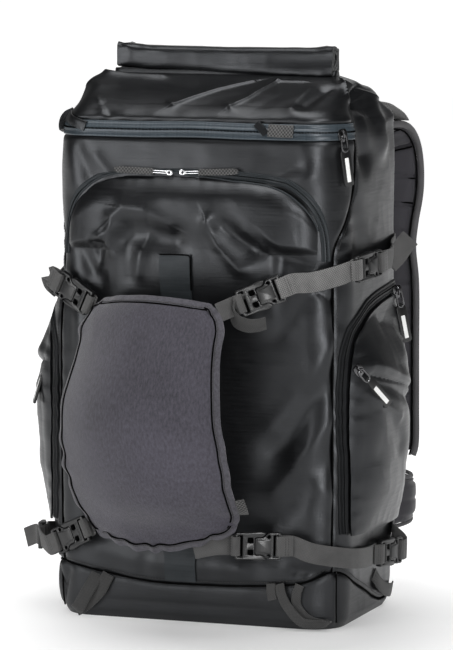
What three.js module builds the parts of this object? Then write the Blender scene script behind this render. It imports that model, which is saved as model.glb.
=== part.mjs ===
// Roll-top camera backpack with a stretch gear holder buckled over its front, standing on its base.
// Millimetres. X runs to the bag's right as its front is seen, Y from the front to the harness, Z up.
// The origin lies on the ground under the middle of the base.
import * as THREE from "three";

// Driving dimensions
const wall = 2.5; // coated cloth with its foam backing
const seamGap = 0.4; // between panels that are sewn edge to edge
const seat = 0.3; // between a piece and what it is sewn on
const bandSeat = 0.7; // under a band or cover that bends with the wall
const baseSeam = 45; // height of the seam over the base
const zipLow = 488; // top zip, lower and upper edge
const zipHigh = 504;
const neckHeight = 547; // where the hood goes into the roll
const webWidth = 20;
const webThick = 1.6;

// The bag's sections by height: half width, front and back face, front and back corner radius.
const bodySections = [
  { z: 0, halfWidth: 147, front: -92, back: 88, frontRadius: 32, backRadius: 26 },
  { z: 9, halfWidth: 152, front: -97, back: 92, frontRadius: 35, backRadius: 28 },
  { z: 45, halfWidth: 154, front: -98, back: 94, frontRadius: 36, backRadius: 30 },
  { z: 150, halfWidth: 155, front: -98, back: 95, frontRadius: 36, backRadius: 30 },
  { z: 300, halfWidth: 155, front: -98, back: 95, frontRadius: 36, backRadius: 30 },
  { z: 400, halfWidth: 155, front: -97, back: 95, frontRadius: 40, backRadius: 30 },
  { z: 470, halfWidth: 156, front: -96, back: 95, frontRadius: 44, backRadius: 32 },
  { z: 504, halfWidth: 153, front: -92, back: 93, frontRadius: 46, backRadius: 34 },
  { z: 518, halfWidth: 144, front: -80, back: 84, frontRadius: 45, backRadius: 36 },
  { z: 530, halfWidth: 140, front: -58, back: 64, frontRadius: 38, backRadius: 36 },
  { z: 540, halfWidth: 134, front: -32, back: 36, frontRadius: 20, backRadius: 22 },
  { z: neckHeight, halfWidth: 119, front: -10, back: 10, frontRadius: 6, backRadius: 6 },
];

// Folds of the cloth, along the wall from the middle of the front (across) and by height.
// A positive rise is a ridge, a negative one a valley.
const bodyFolds = [
  { across0: -28, z0: 509, across1: 62, z1: 536, width: 9, rise: 6 },
  { across0: -20, z0: 504, across1: 70, z1: 529, width: 9, rise: -4 },
  { across0: 36, z0: 507, across1: 84, z1: 538, width: 8, rise: 6 },
  { across0: 118, z0: 508, across1: 126, z1: 536, width: 13, rise: -9 },
  { across0: 150, z0: 500, across1: 122, z1: 540, width: 9, rise: 5 },
  { across0: 205, z0: 470, across1: 172, z1: 532, width: 14, rise: -8 },
  { across0: 255, z0: 480, across1: 215, z1: 534, width: 13, rise: 6 },
  { across0: -205, z0: 478, across1: -172, z1: 532, width: 14, rise: -7 },
  { across0: -128, z0: 508, across1: -120, z1: 535, width: 12, rise: 4 },
  { across0: -112, z0: 455, across1: -94, z1: 482, width: 13, rise: -4 },
  { across0: 88, z0: 452, across1: 74, z1: 480, width: 15, rise: -4 },
  { across0: 70, z0: 100, across1: 120, z1: 230, width: 26, rise: -5 },
  { across0: 190, z0: 380, across1: 160, z1: 470, width: 16, rise: -4 },
  { across0: -203, z0: 100, across1: -203, z1: 292, width: 44, rise: 12 },
  { across0: -176, z0: 345, across1: -176, z1: 380, width: 24, rise: -5.5 },
  { across0: -200, z0: 410, across1: -200, z1: 490, width: 60, rise: -2.5 },
];

// Front pocket under its arched zip: half width of the arch, its flat top, its foot and its lower seam.
const arch = { half: 134, flat: 55, top: 449, foot: 369, seam: 375, depth: 15 };
const pocketFolds = [
  { across0: -62, z0: 424, across1: 40, z1: 414, width: 10, rise: 4 },
  { across0: -52, z0: 408, across1: 24, z1: 398, width: 13, rise: -7 },
  { across0: -92, z0: 396, across1: -84, z1: 372, width: 10, rise: -8 },
  { across0: 40, z0: 408, across1: 84, z1: 380, width: 12, rise: -7 },
];

// Side zip: from the back edge of the side down in a bow to its front edge, then straight to the base.
const sideZip = [
  { across: 300, z: 331 },
  { across: 256, z: 318 },
  { across: 210, z: 298 },
  { across: 179, z: 268 },
  { across: 169, z: 235 },
  { across: 169, z: 180 },
  { across: 174, z: 130 },
  { across: 178, z: 96 },
];
const sideZipWidth = 11;
const sidePocket = { depth: 21, low: 93, high: 322, backEdge: 322 };
const sideFolds = [
  { across0: 188, z0: 262, across1: 310, z1: 226, width: 9, rise: 4 },
  { across0: 190, z0: 250, across1: 306, z1: 214, width: 10, rise: -6 },
  { across0: 196, z0: 235, across1: 250, z1: 178, width: 13, rise: -4 },
];

// Gear holder by rows from its upper to its lower edge: both side edges, and how far its middle
// stands forward and up from the chord between them.
const holderRows = [
  { leftX: -84, leftY: -122, leftZ: 325, rightX: 42, rightY: -162, rightZ: 329, crown: 22, lift: 8 },
  { leftX: -106, leftY: -120, leftZ: 306, rightX: 56, rightY: -166, rightZ: 312, crown: 36, lift: 5 },
  { leftX: -114, leftY: -130, leftZ: 264, rightX: 58, rightY: -182, rightZ: 270, crown: 44, lift: 2 },
  { leftX: -125, leftY: -137, leftZ: 214, rightX: 60, rightY: -187, rightZ: 222, crown: 47, lift: 0 },
  { leftX: -124, leftY: -133, leftZ: 170, rightX: 65, rightY: -180, rightZ: 177, crown: 45, lift: -2 },
  { leftX: -119, leftY: -127, leftZ: 138, rightX: 66, rightY: -165, rightZ: 142, crown: 38, lift: -5 },
  { leftX: -108, leftY: -120, leftZ: 110, rightX: 66, rightY: -146, rightZ: 119, crown: 26, lift: -8 },
  { leftX: -90, leftY: -120, leftZ: 91, rightX: 59, rightY: -140, rightZ: 106, crown: 15, lift: -17 },
];
const holderWall = 1.8;

// Colours read from the object: coated cloth, its base, webbing, stretch cloth, plastic and mesh.
const finishes = {
  coated: { color: 0x3b3c3e, roughness: 0.55, metalness: 0 },
  coatedBase: { color: 0x303133, roughness: 0.6, metalness: 0 },
  zip: { color: 0x1d2126, roughness: 0.35, metalness: 0 },
  webbing: { color: 0x4a4744, roughness: 0.85, metalness: 0 },
  stretch: { color: 0x4f4b52, roughness: 0.9, metalness: 0 },
  plastic: { color: 0x2b2c2d, roughness: 0.4, metalness: 0 },
  metal: { color: 0x55565a, roughness: 0.3, metalness: 1 },
  padding: { color: 0x2e2c31, roughness: 0.9, metalness: 0 },
};

const bag = new THREE.Group();

// Reads a column of a table at a place between its rows, on a smooth curve through them.
function readTable(rows, key, column, at) {
  let i = 0;
  while (i < rows.length - 2 && at > rows[i + 1][key]) i++;
  const slope = (a, b) => (rows[b][column] - rows[a][column]) / (rows[b][key] - rows[a][key]);
  const last = rows.length - 1;
  const span = rows[i + 1][key] - rows[i][key];
  const t = THREE.MathUtils.clamp((at - rows[i][key]) / span, 0, 1);
  const m0 = slope(Math.max(i - 1, 0), Math.min(i + 1, last)) * span;
  const m1 = slope(i, Math.min(i + 2, last)) * span;
  const a = rows[i][column];
  const b = rows[i + 1][column];
  const leave = (a * (1 + 2 * t) + m0 * t) * (1 - t) ** 2;
  const arrive = (b * (3 - 2 * t) - m1 * (1 - t)) * t * t;
  return leave + arrive;
}

function sectionAt(z) {
  const columns = ["halfWidth", "front", "back", "frontRadius", "backRadius"];
  return Object.fromEntries(columns.map((c) => [c, readTable(bodySections, "z", c, z)]));
}

// Lengths along half a section, from the middle of the front to the middle of the back.
function stretches(s) {
  return [
    s.halfWidth - s.frontRadius,
    (s.frontRadius * Math.PI) / 2,
    s.back - s.front - s.frontRadius - s.backRadius,
    (s.backRadius * Math.PI) / 2,
    s.halfWidth - s.backRadius,
  ];
}

// A point of the wall's plain section and the way out from it there.
function plainWall(across, z) {
  const s = sectionAt(z);
  const [front, bend, side, backBend] = stretches(s);
  const hand = Math.sign(across) || 1;
  let d = Math.abs(across);
  let x, y, nx, ny;
  if (d < front) {
    [x, y, nx, ny] = [d, s.front, 0, -1];
  } else if ((d -= front) < bend) {
    const turn = d / s.frontRadius;
    [nx, ny] = [Math.sin(turn), -Math.cos(turn)];
    [x, y] = [front + s.frontRadius * nx, s.front + s.frontRadius * (1 + ny)];
  } else if ((d -= bend) < side) {
    [x, y, nx, ny] = [s.halfWidth, s.front + s.frontRadius + d, 1, 0];
  } else if ((d -= side) < backBend) {
    const turn = d / s.backRadius;
    [nx, ny] = [Math.cos(turn), Math.sin(turn)];
    [x, y] = [s.halfWidth - s.backRadius * (1 - nx), s.back - s.backRadius * (1 - ny)];
  } else {
    [x, y, nx, ny] = [s.halfWidth - s.backRadius - (d - backBend), s.back, 0, 1];
  }
  return { point: new THREE.Vector3(hand * x, y, z), out: new THREE.Vector3(hand * nx, ny, 0) };
}

// How far the folds of a table lift the cloth at a place.
function foldLift(folds, across, z) {
  let lift = 0;
  for (const f of folds) {
    const run = new THREE.Vector2(f.across1 - f.across0, f.z1 - f.z0);
    const from = new THREE.Vector2(across - f.across0, z - f.z0);
    const t = THREE.MathUtils.clamp(from.dot(run) / run.lengthSq(), 0, 1);
    const away = from.sub(run.multiplyScalar(t)).length();
    lift += f.rise * Math.exp(-((away / f.width) ** 2));
  }
  return lift;
}

// The filled bag swells between its corners.
function swell(across, z) {
  const fill = Math.sin(Math.PI * THREE.MathUtils.clamp((z - 20) / 500, 0, 1)) ** 0.5;
  const front = Math.max(0, 1 - (across / 150) ** 2);
  const side = Math.max(0, 1 - ((Math.abs(across) - 238) / 80) ** 2);
  return fill * (7 * front + 5 * side);
}

function bodyPoint(across, z, lift = 0) {
  const { point, out } = plainWall(across, z);
  return point.addScaledVector(out, swell(across, z) + foldLift(bodyFolds, across, z) + lift);
}

const blend = (a, b, t) => a + (b - a) * t;
const steps = (count) => Array.from({ length: count + 1 }, (_, i) => i / count);

// Arclength of the sewn corner seams at a height: front corners and back corners.
// Above the pocket the front seam runs back onto the side.
function frontSeam(z) {
  const [front, bend] = stretches(sectionAt(z));
  const back = THREE.MathUtils.smoothstep(z, 372, 440) * 34;
  return front + bend / 2 + back;
}
function backSeam(z) {
  const [front, bend, side, backBend] = stretches(sectionAt(z));
  return front + bend + side + backBend * 0.6;
}

// A closed geometry from points and triangles, turned to face out.
function closedGeometry(points, triangles) {
  const [a, b, c] = [new THREE.Vector3(), new THREE.Vector3(), new THREE.Vector3()];
  let volume = 0;
  for (const [i, j, k] of triangles) {
    volume += a.copy(points[i]).dot(b.copy(points[j]).cross(c.copy(points[k])));
  }
  const facing = volume > 0 ? triangles : triangles.map(([i, j, k]) => [i, k, j]);
  const geometry = new THREE.BufferGeometry().setFromPoints(points);
  geometry.setIndex(facing.flat());
  geometry.computeVertexNormals();
  return geometry;
}

// A sheet with thickness from two grids of points, rows by columns.
function sheetGeometry(outer, inner) {
  const rows = outer.length;
  const cols = outer[0].length;
  const points = [...outer.flat(), ...inner.flat()];
  const top = (r, c) => r * cols + c;
  const under = (r, c) => rows * cols + r * cols + c;
  const triangles = [];
  const quad = (i, j, k, l) => triangles.push([i, j, k], [i, k, l]);
  for (let r = 0; r < rows - 1; r++) {
    for (let c = 0; c < cols - 1; c++) {
      quad(top(r, c), top(r, c + 1), top(r + 1, c + 1), top(r + 1, c));
      quad(under(r, c), under(r + 1, c), under(r + 1, c + 1), under(r, c + 1));
    }
    quad(top(r, 0), top(r + 1, 0), under(r + 1, 0), under(r, 0));
    quad(top(r + 1, cols - 1), top(r, cols - 1), under(r, cols - 1), under(r + 1, cols - 1));
  }
  for (let c = 0; c < cols - 1; c++) {
    quad(top(0, c + 1), top(0, c), under(0, c), under(0, c + 1));
    quad(top(rows - 1, c), top(rows - 1, c + 1), under(rows - 1, c + 1), under(rows - 1, c));
  }
  return closedGeometry(points, triangles);
}

// A skin through loops of equally many points. Its ends are fanned shut, or the last loop meets the first.
function loftGeometry(loops, endless = false) {
  const count = loops[0].length;
  const points = loops.flat();
  const triangles = [];
  const rows = endless ? loops.length : loops.length - 1;
  for (let r = 0; r < rows; r++) {
    const next = (r + 1) % loops.length;
    for (let c = 0; c < count; c++) {
      const d = (c + 1) % count;
      triangles.push([r * count + c, r * count + d, next * count + d]);
      triangles.push([r * count + c, next * count + d, next * count + c]);
    }
  }
  if (!endless) {
    for (const [row, turned] of [[0, true], [loops.length - 1, false]]) {
      const middle = new THREE.Vector3();
      loops[row].forEach((p) => middle.addScaledVector(p, 1 / count));
      points.push(middle);
      for (let c = 0; c < count; c++) {
        const [i, j] = [row * count + c, row * count + ((c + 1) % count)];
        triangles.push(turned ? [points.length - 1, j, i] : [points.length - 1, i, j]);
      }
    }
  }
  return closedGeometry(points, triangles);
}

function add(name, geometry, finish) {
  const mesh = new THREE.Mesh(geometry, new THREE.MeshStandardMaterial(finishes[finish]));
  mesh.name = name;
  bag.add(mesh);
  return mesh;
}

// Wall panels, between heights and between two seams given as functions of height.
function wallPanel(name, heights, fromSeam, toSeam, columns, finish) {
  const row = (z, lift) => columns.map((s) => bodyPoint(blend(fromSeam(z), toSeam(z), s), z, lift));
  const grid = (lift) => heights.map((z) => row(z, lift));
  const outer = grid(0);
  add(name, sheetGeometry(outer, grid(-wall)), finish);
  return facetSurface(outer, heights, columns, fromSeam, toSeam);
}

// The faceted face of a panel, read by place along the wall and height.
function facetSurface(grid, heights, columns, fromSeam, toSeam) {
  return (across, z, lift = 0) => {
    let r = 0;
    while (r < heights.length - 2 && z > heights[r + 1]) r++;
    const v = THREE.MathUtils.clamp((z - heights[r]) / (heights[r + 1] - heights[r]), 0, 1);
    const from = blend(fromSeam(heights[r]), fromSeam(heights[r + 1]), v);
    const to = blend(toSeam(heights[r]), toSeam(heights[r + 1]), v);
    const s = THREE.MathUtils.clamp((across - from) / (to - from), 0, 1);
    let c = 0;
    while (c < columns.length - 2 && s > columns[c + 1]) c++;
    const u = (s - columns[c]) / (columns[c + 1] - columns[c]);
    const point = grid[r][c].clone().multiplyScalar(1 - Math.max(u, v));
    point.addScaledVector(u > v ? grid[r][c + 1] : grid[r + 1][c], Math.abs(u - v));
    point.addScaledVector(grid[r + 1][c + 1], Math.min(u, v));
    return point.addScaledVector(plainWall(across, z).out, lift);
  };
}

const heightsBetween = (low, high, count) => steps(count).map((t) => blend(low, high, t));

// Columns of the panels, as shares of their width, closer where the wall bends.
const nearCorner = [0, 0.03, 0.06, 0.1, 0.15, 0.22, 0.3, 0.4];
const frontColumns = [...nearCorner, 0.5, ...nearCorner.map((s) => 1 - s).reverse()];
const sideColumns = [0, 0.05, 0.1, 0.16, 0.27, 0.45, 0.63, 0.8, 0.9, 1];
const faces = {};
function bodyPanels() {
  const heights = heightsBetween(baseSeam + seamGap, zipLow, 13);
  const frontEdge = (z) => frontSeam(z) - seamGap;
  faces.front = wallPanel("front_panel", heights, (z) => -frontEdge(z), frontEdge, frontColumns, "coated");
  for (const [side, hand] of [["right", 1], ["left", -1]]) {
    const seamFront = (z) => hand * (frontSeam(z) + seamGap);
    const seamBack = (z) => hand * (backSeam(z) - seamGap);
    const upTo = [...heights, zipHigh];
    faces[side] = wallPanel(`side_panel_${side}`, upTo, seamFront, seamBack, sideColumns, "coated");
  }
}

// Padded back: two pillars of foam with an air channel between them, and a break above the hips.
function backPanel() {
  const padThick = 13;
  const channelHalf = 24;
  const lumbarBreak = 165;
  const middleOfBack = (z) => stretches(sectionAt(z)).reduce((a, b) => a + b, 0);
  const pad = (across, z) => {
    const fromMiddle = Math.abs(Math.abs(across) - middleOfBack(z));
    const edge = backSeam(z) + 14;
    const rim = THREE.MathUtils.smoothstep(Math.abs(across), edge - 12, edge + 10);
    const channel = THREE.MathUtils.smoothstep(fromMiddle, channelHalf - 10, channelHalf + 8);
    const gap = Math.min(1, Math.abs(z - lumbarBreak) / 12);
    const ends = THREE.MathUtils.smoothstep(z, 48, 66) * (1 - THREE.MathUtils.smoothstep(z, 455, 485));
    return padThick * rim * ends * (0.25 + 0.75 * channel) * (0.35 + 0.65 * gap);
  };
  const heights = [baseSeam + seamGap, 58, 75, 150, 165, 180, 280, 390, 454, 486, zipHigh];
  const grid = (lift) =>
    heights.map((z) => {
      const start = backSeam(z) + seamGap;
      const whole = 2 * middleOfBack(z);
      return [0, 0.05, 0.1, 0.25, 0.4, 0.45, 0.55, 0.6, 0.75, 0.9, 0.95, 1].map((s) => {
        const along = blend(start, whole - start, s);
        const across = along <= whole / 2 ? along : along - whole;
        return bodyPoint(across, z, lift === 0 ? pad(across, z) : lift);
      });
    });
  add("back_panel", sheetGeometry(grid(0), grid(-wall)), "padding");
}

// Points round a whole section, as many on each stretch at every height.
const aroundCounts = [6, 4, 4, 3, 4];
function aroundLoop(pointAt, z) {
  const lengths = stretches(sectionAt(z));
  const half = [];
  let start = 0;
  lengths.forEach((length, i) => {
    for (let k = 0; k < aroundCounts[i]; k++) half.push(start + (length * k) / aroundCounts[i]);
    start += length;
  });
  const whole = [...half, start, ...half.slice(1).reverse().map((d) => -d)];
  return whole.map((d) => pointAt(d, z));
}

// Base: a tray with a flat floor, its side up to the seam.
function basePanel() {
  const floorWall = 3;
  const outside = [0, 10, 26, baseSeam];
  const inside = [baseSeam, 26, 10, floorWall];
  const loops = [
    ...outside.map((z) => aroundLoop((d) => bodyPoint(d, z), z)),
    ...inside.map((z) => aroundLoop((d) => bodyPoint(d, z, -floorWall), z)),
  ];
  add("base_panel", loftGeometry(loops), "coatedBase");
}

// Hood: from the zip's upper edge in to the flat neck that goes into the roll.
function hoodPanel() {
  const heights = [zipHigh + seamGap, 512, 520, 528, 535, 540.5, neckHeight];
  const outside = heights.map((z) => aroundLoop((d) => bodyPoint(d, z), z));
  const inward = (row, col) => {
    const count = outside[0].length;
    const upper = outside[Math.min(row + 1, heights.length - 1)][col];
    const up = row === 0 ? new THREE.Vector3(0, 0, 1) : upper.clone().sub(outside[row - 1][col]);
    const on = outside[row][(col + 1) % count].clone().sub(outside[row][(col + count - 1) % count]);
    return on.cross(up).normalize();
  };
  const innerLoop = (loop, r) => loop.map((p, c) => p.clone().addScaledVector(inward(r, c), -wall));
  const inside = outside.map(innerLoop);
  add("hood", loftGeometry([...outside, ...inside.reverse()], true), "coated");
}

// Roll: the top of the bag wound up on itself, a flat spiral of cloth.
function rollTop() {
  const length = 232;
  const clothThick = 3.4;
  const layerGap = 0.8;
  const [tall, deep] = [31, 27];
  const turns = 2.25;
  const sides = 14;
  const pitch = clothThick + layerGap;
  const spiral = (inset) =>
    steps(Math.round(turns * sides)).map((t) => {
      const angle = -Math.PI / 2 + t * turns * 2 * Math.PI;
      const shrink = t * turns * pitch + inset;
      const square = 2 / 3.2;
      const round = (v) => Math.sign(v) * Math.abs(v) ** square;
      return new THREE.Vector2(
        (deep / 2 - shrink) * round(Math.cos(angle)),
        (tall / 2 - shrink) * round(Math.sin(angle)),
      );
    });
  const outline = [...spiral(0), ...spiral(clothThick).reverse()];
  const geometry = new THREE.ExtrudeGeometry(new THREE.Shape(outline), {
    depth: length,
    steps: 6,
    bevelEnabled: false,
  });
  geometry.deleteAttribute("uv");
  geometry.translate(0, 0, -length / 2);
  geometry.applyMatrix4(new THREE.Matrix4().makeBasis(
    new THREE.Vector3(0, 1, 0),
    new THREE.Vector3(0, 0, 1),
    new THREE.Vector3(1, 0, 0),
  ));
  const place = geometry.getAttribute("position");
  const sag = 1.2;
  const nest = 1.2; // how far the roll settles into the open neck
  for (let i = 0; i < place.count; i++) {
    const share = place.getX(i) / (length / 2);
    place.setZ(i, place.getZ(i) + sag * (share * share - 1));
  }
  geometry.computeVertexNormals();
  const roll = add("roll_top", geometry, "coated");
  roll.position.set(0.5, 0, neckHeight + seat + tall / 2 + sag - nest);
}

// Front pocket: a cover that stands off the front panel, hollow behind, sewn down round its edge.
function archHeight(across) {
  const run = THREE.MathUtils.clamp((Math.abs(across) - arch.flat) / (arch.half - arch.flat), 0, 1);
  return arch.foot + (arch.top - arch.foot) * Math.sqrt(1 - run * run);
}
function pocketPoint(across, z, lift) {
  const up = (z - arch.seam) / (archHeight(across) - arch.seam);
  const side = Math.abs(across) / arch.half;
  const puff = arch.depth * (1 - side ** 6) * Math.min(1, 2.6 * Math.sin(Math.PI * up) ** 0.8);
  const folds = foldLift(pocketFolds, across, z) * Math.sin(Math.PI * THREE.MathUtils.clamp(up, 0, 1));
  return faces.front(across, z, bandSeat + 0.3 + lift + Math.max(0, puff + folds));
}
const pocketWall = 2;
function frontPocket() {
  const rim = 5;
  const half = arch.half - rim;
  const grid = (lift) =>
    steps(7).map((t) =>
      steps(16).map((s) => {
        const across = blend(-half, half, s);
        return pocketPoint(across, blend(arch.seam, archHeight(across) - rim, t), lift);
      }),
    );
  add("front_pocket", sheetGeometry(grid(pocketWall), grid(0)), "coated");
}

// A flat band along a path on a surface, given as rows of (across, z).
function bandGeometry(path, width, thick, pointAt) {
  const loops = path.map((here, i) => {
    const before = path[Math.max(i - 1, 0)];
    const after = path[Math.min(i + 1, path.length - 1)];
    const way = new THREE.Vector2(after.across - before.across, after.z - before.z).normalize();
    const edge = (side) => [here.across - side * way.y, here.z + side * way.x];
    const [left, right] = [edge(-width / 2), edge(width / 2)];
    return [pointAt(...left, 0), pointAt(...left, thick), pointAt(...right, thick), pointAt(...right, 0)];
  });
  return loftGeometry(loops);
}

function zips() {
  const zipThick = 2;
  const zipMiddle = (zipLow + zipHigh) / 2;
  const zipEnd = frontSeam(zipMiddle) - 1.6;
  const topPath = steps(22).map((t) => ({ across: blend(-zipEnd, zipEnd, t), z: zipMiddle }));
  const topWidth = zipHigh - zipLow - 2 * seamGap;
  const flush = (a, z, lift) => bodyPoint(a, z, lift - zipThick);
  add("top_zip", bandGeometry(topPath, topWidth, zipThick, flush), "zip");

  const archWidth = 9;
  const ride = archWidth / 2;
  const archPath = steps(36).map((t) => {
    const angle = Math.PI * (1 - t);
    const across = arch.flat * Math.sign(Math.cos(angle)) * Math.min(1, Math.abs(Math.cos(angle)) * 2.2);
    const reach = arch.half - arch.flat + ride;
    const rise = arch.top - arch.foot + ride;
    return { across: across + reach * Math.cos(angle), z: arch.foot + rise * Math.sin(angle) };
  });
  const onFront = (a, z, lift) => {
    const bend = 0.7 * THREE.MathUtils.smoothstep(Math.abs(a), 95, 125);
    return faces.front(a, z, bandSeat + bend + lift);
  };
  add("front_pocket_zip", bandGeometry(archPath, archWidth, zipThick, onFront), "zip");

  for (const [side, hand] of [["right", 1], ["left", -1]]) {
    const curve = new THREE.CatmullRomCurve3(sideZip.map((p) => new THREE.Vector3(p.across, p.z, 0)));
    const path = curve.getPoints(24).map((p) => ({ across: hand * p.x, z: p.y }));
    const onSide = (a, z, lift) => {
      const bend = 0.7 * (1 - THREE.MathUtils.smoothstep(Math.abs(a), 200, 225));
      return faces[side](a, z, bandSeat + bend + lift);
    };
    add(`side_zip_${side}`, bandGeometry(path, sideZipWidth, zipThick, onSide), "zip");
  }
}

// Side pockets: covers behind the side zips, hollow, swelling out from the side panel.
function sideZipAcross(z) {
  const rows = [...sideZip].reverse();
  return readTable(rows, "z", "across", z);
}
function sidePocketPoint(hand, s, z, lift) {
  const clear = sideZipWidth / 2 + 2.5;
  const front = sideZipAcross(Math.min(z + clear, sideZip[0].z)) + clear;
  const across = blend(front, sidePocket.backEdge, s);
  const up = (z - sidePocket.low) / (sidePocket.high - sidePocket.low);
  const over = 1 - Math.abs(2 * s - 1) ** 3.5;
  const ends = Math.sin(Math.PI * Math.min(1, up * 0.93 + 0.02)) ** 0.6;
  const puff = sidePocket.depth * over * ends * THREE.MathUtils.smoothstep(1.02 - up, 0, 0.3);
  const folds = foldLift(sideFolds, across, z) * over;
  const face = faces[hand > 0 ? "right" : "left"];
  return face(hand * across, z, bandSeat + 0.9 + lift + Math.max(0, puff + folds));
}
function sidePockets() {
  for (const [side, hand] of [["right", 1], ["left", -1]]) {
    const grid = (lift) =>
      steps(11).map((t) =>
        steps(8).map((s) => sidePocketPoint(hand, s, blend(sidePocket.low, sidePocket.high, t), lift)),
      );
    add(`side_pocket_${side}`, sheetGeometry(grid(pocketWall), grid(0)), "coated");
  }
}

// Gear holder: a stretch panel that stands domed off the front, held by its four corners.
function holderPoint(s, t, lift) {
  const rows = holderRows.map((row, i) => ({ ...row, at: i / (holderRows.length - 1) }));
  const read = (column) => readTable(rows, "at", column, t);
  const dome = 1 - (2 * s - 1) ** 2;
  return new THREE.Vector3(
    blend(read("leftX"), read("rightX"), s),
    blend(read("leftY"), read("rightY"), s) - dome * read("crown") - lift,
    blend(read("leftZ"), read("rightZ"), s) + dome * read("lift"),
  );
}
function gearHolder() {
  const grid = (lift) => steps(14).map((t) => steps(11).map((s) => holderPoint(s, t, lift)));
  add("holder_panel", sheetGeometry(grid(holderWall), grid(0)), "stretch");
}

const vec = (x, y, z) => new THREE.Vector3(x, y, z);

// A flat strap through points, its width lying along the given ways.
function ribbonGeometry(points, sideways, width = webWidth, thick = webThick) {
  const loops = points.map((p, i) => {
    const before = points[Math.max(i - 1, 0)];
    const after = points[Math.min(i + 1, points.length - 1)];
    const way = after.clone().sub(before).normalize();
    const side = (Array.isArray(sideways) ? sideways[i] : sideways).clone();
    side.addScaledVector(way, -side.dot(way)).normalize();
    const out = side.clone().cross(way);
    side.multiplyScalar(width / 2);
    out.multiplyScalar(thick / 2);
    const corner = (a, b) => p.clone().addScaledVector(side, a).addScaledVector(out, b);
    return [corner(-1, -1), corner(-1, 1), corner(1, 1), corner(1, -1)];
  });
  return loftGeometry(loops);
}

// A padded band: like a strap, with rounded edges and its own width and thickness at each point.
function paddedGeometry(points, sideways, widths, thicks) {
  const loops = points.map((p, i) => {
    const before = points[Math.max(i - 1, 0)];
    const after = points[Math.min(i + 1, points.length - 1)];
    const way = after.clone().sub(before).normalize();
    const side = sideways[i].clone();
    side.addScaledVector(way, -side.dot(way)).normalize();
    const out = side.clone().cross(way);
    const [half, deep] = [widths[i] / 2, thicks[i] / 2];
    const flat = half - Math.min(deep, 5);
    const crown = deep * 1.15;
    const upper = [[-half, 0], [-flat, deep], [0, crown], [flat, deep]];
    const corners = [...upper, [half, 0], [flat, -deep], [-flat, -deep]];
    return corners.map(([a, b]) => p.clone().addScaledVector(side, a).addScaledVector(out, b));
  });
  return loftGeometry(loops);
}

// Side-release buckle: half length, half width, thickness, the bars at its ends and the slots beside them.
const clip = { half: 23, halfWidth: 13.5, thick: 6, bar: 3, slot: 4.6, waist: 8.5, meet: 0.4 };
const barMiddle = clip.half - clip.bar / 2;

// Where each buckle lies: its middle, the way from the bag to the far strap, and the way it faces.
const clips = [
  { name: "upper_left", at: [-121.5, -113.5, 331], along: [-0.85, 0.28, 0.44], facing: [-0.25, -1, 0] },
  { name: "upper_right", at: [87, -141, 338], along: [0.82, 0.45, 0.34], facing: [0.4, -1, 0.1] },
  { name: "lower_left", at: [-125, -113.5, 85], along: [-0.86, 0.3, -0.42], facing: [-0.25, -1, 0] },
  { name: "lower_right", at: [80, -129, 88], along: [0.9, 0.42, -0.02], facing: [0.4, -1, 0] },
  { name: "side_upper", at: [168, -50, 362], along: [0.22, 0.97, 0.08], facing: [1, -0.2, 0] },
  { name: "side_lower", at: [169.5, 18, 64], along: [0.18, 0.98, -0.05], facing: [1, -0.2, 0] },
].map((row) => {
  const c = { name: row.name, at: vec(...row.at), along: vec(...row.along), facing: vec(...row.facing) };
  const along = c.along.clone().normalize();
  const facing = c.facing.clone().addScaledVector(along, -c.facing.dot(along)).normalize();
  return { ...c, along, facing, sideways: facing.clone().cross(along) };
});
const clipNamed = (name) => clips.find((c) => c.name === name);

function plateGeometry(outline, holes, thick) {
  const shape = new THREE.Shape(outline.map(([x, y]) => new THREE.Vector2(x, y)));
  holes.forEach((hole) => shape.holes.push(new THREE.Path(hole.map(([x, y]) => new THREE.Vector2(x, y)))));
  const geometry = new THREE.ExtrudeGeometry(shape, { depth: thick, bevelEnabled: false });
  geometry.deleteAttribute("uv");
  geometry.translate(0, 0, -thick / 2);
  return geometry;
}

function placed(geometry, at, along, facing) {
  const x = along.clone().normalize();
  const z = facing.clone().addScaledVector(x, -facing.dot(x)).normalize();
  return geometry.applyMatrix4(new THREE.Matrix4().makeBasis(x, z.clone().cross(x), z).setPosition(at));
}

function buckles() {
  const { half, halfWidth, thick, bar, slot, waist, meet } = clip;
  const slotHalf = webWidth / 2 + 1;
  const hole = (x) => [[x, -slotHalf], [x + slot, -slotHalf], [x + slot, slotHalf], [x, slotHalf]];
  const socket = [
    [-3, -waist], [5, -waist], [10, -halfWidth], [half, -halfWidth],
    [half, halfWidth], [10, halfWidth], [5, waist], [-3, waist],
  ];
  const arm = waist + meet;
  const prong = [
    [-half, -halfWidth], [2, -halfWidth - 1.2], [8.6, -halfWidth], [4.4, -arm], [-3 - meet, -arm],
    [-3 - meet, arm], [4.4, arm], [8.6, halfWidth], [2, halfWidth + 1.2], [-half, halfWidth],
  ];
  for (const c of clips) {
    const socketPart = plateGeometry(socket, [hole(half - bar - slot)], thick);
    const prongPart = plateGeometry(prong, [hole(-half + bar)], thick);
    add(`buckle_socket_${c.name}`, placed(socketPart, c.at, c.along, c.facing), "plastic");
    add(`buckle_prong_${c.name}`, placed(prongPart, c.at, c.along, c.facing), "plastic");
  }
}

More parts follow.
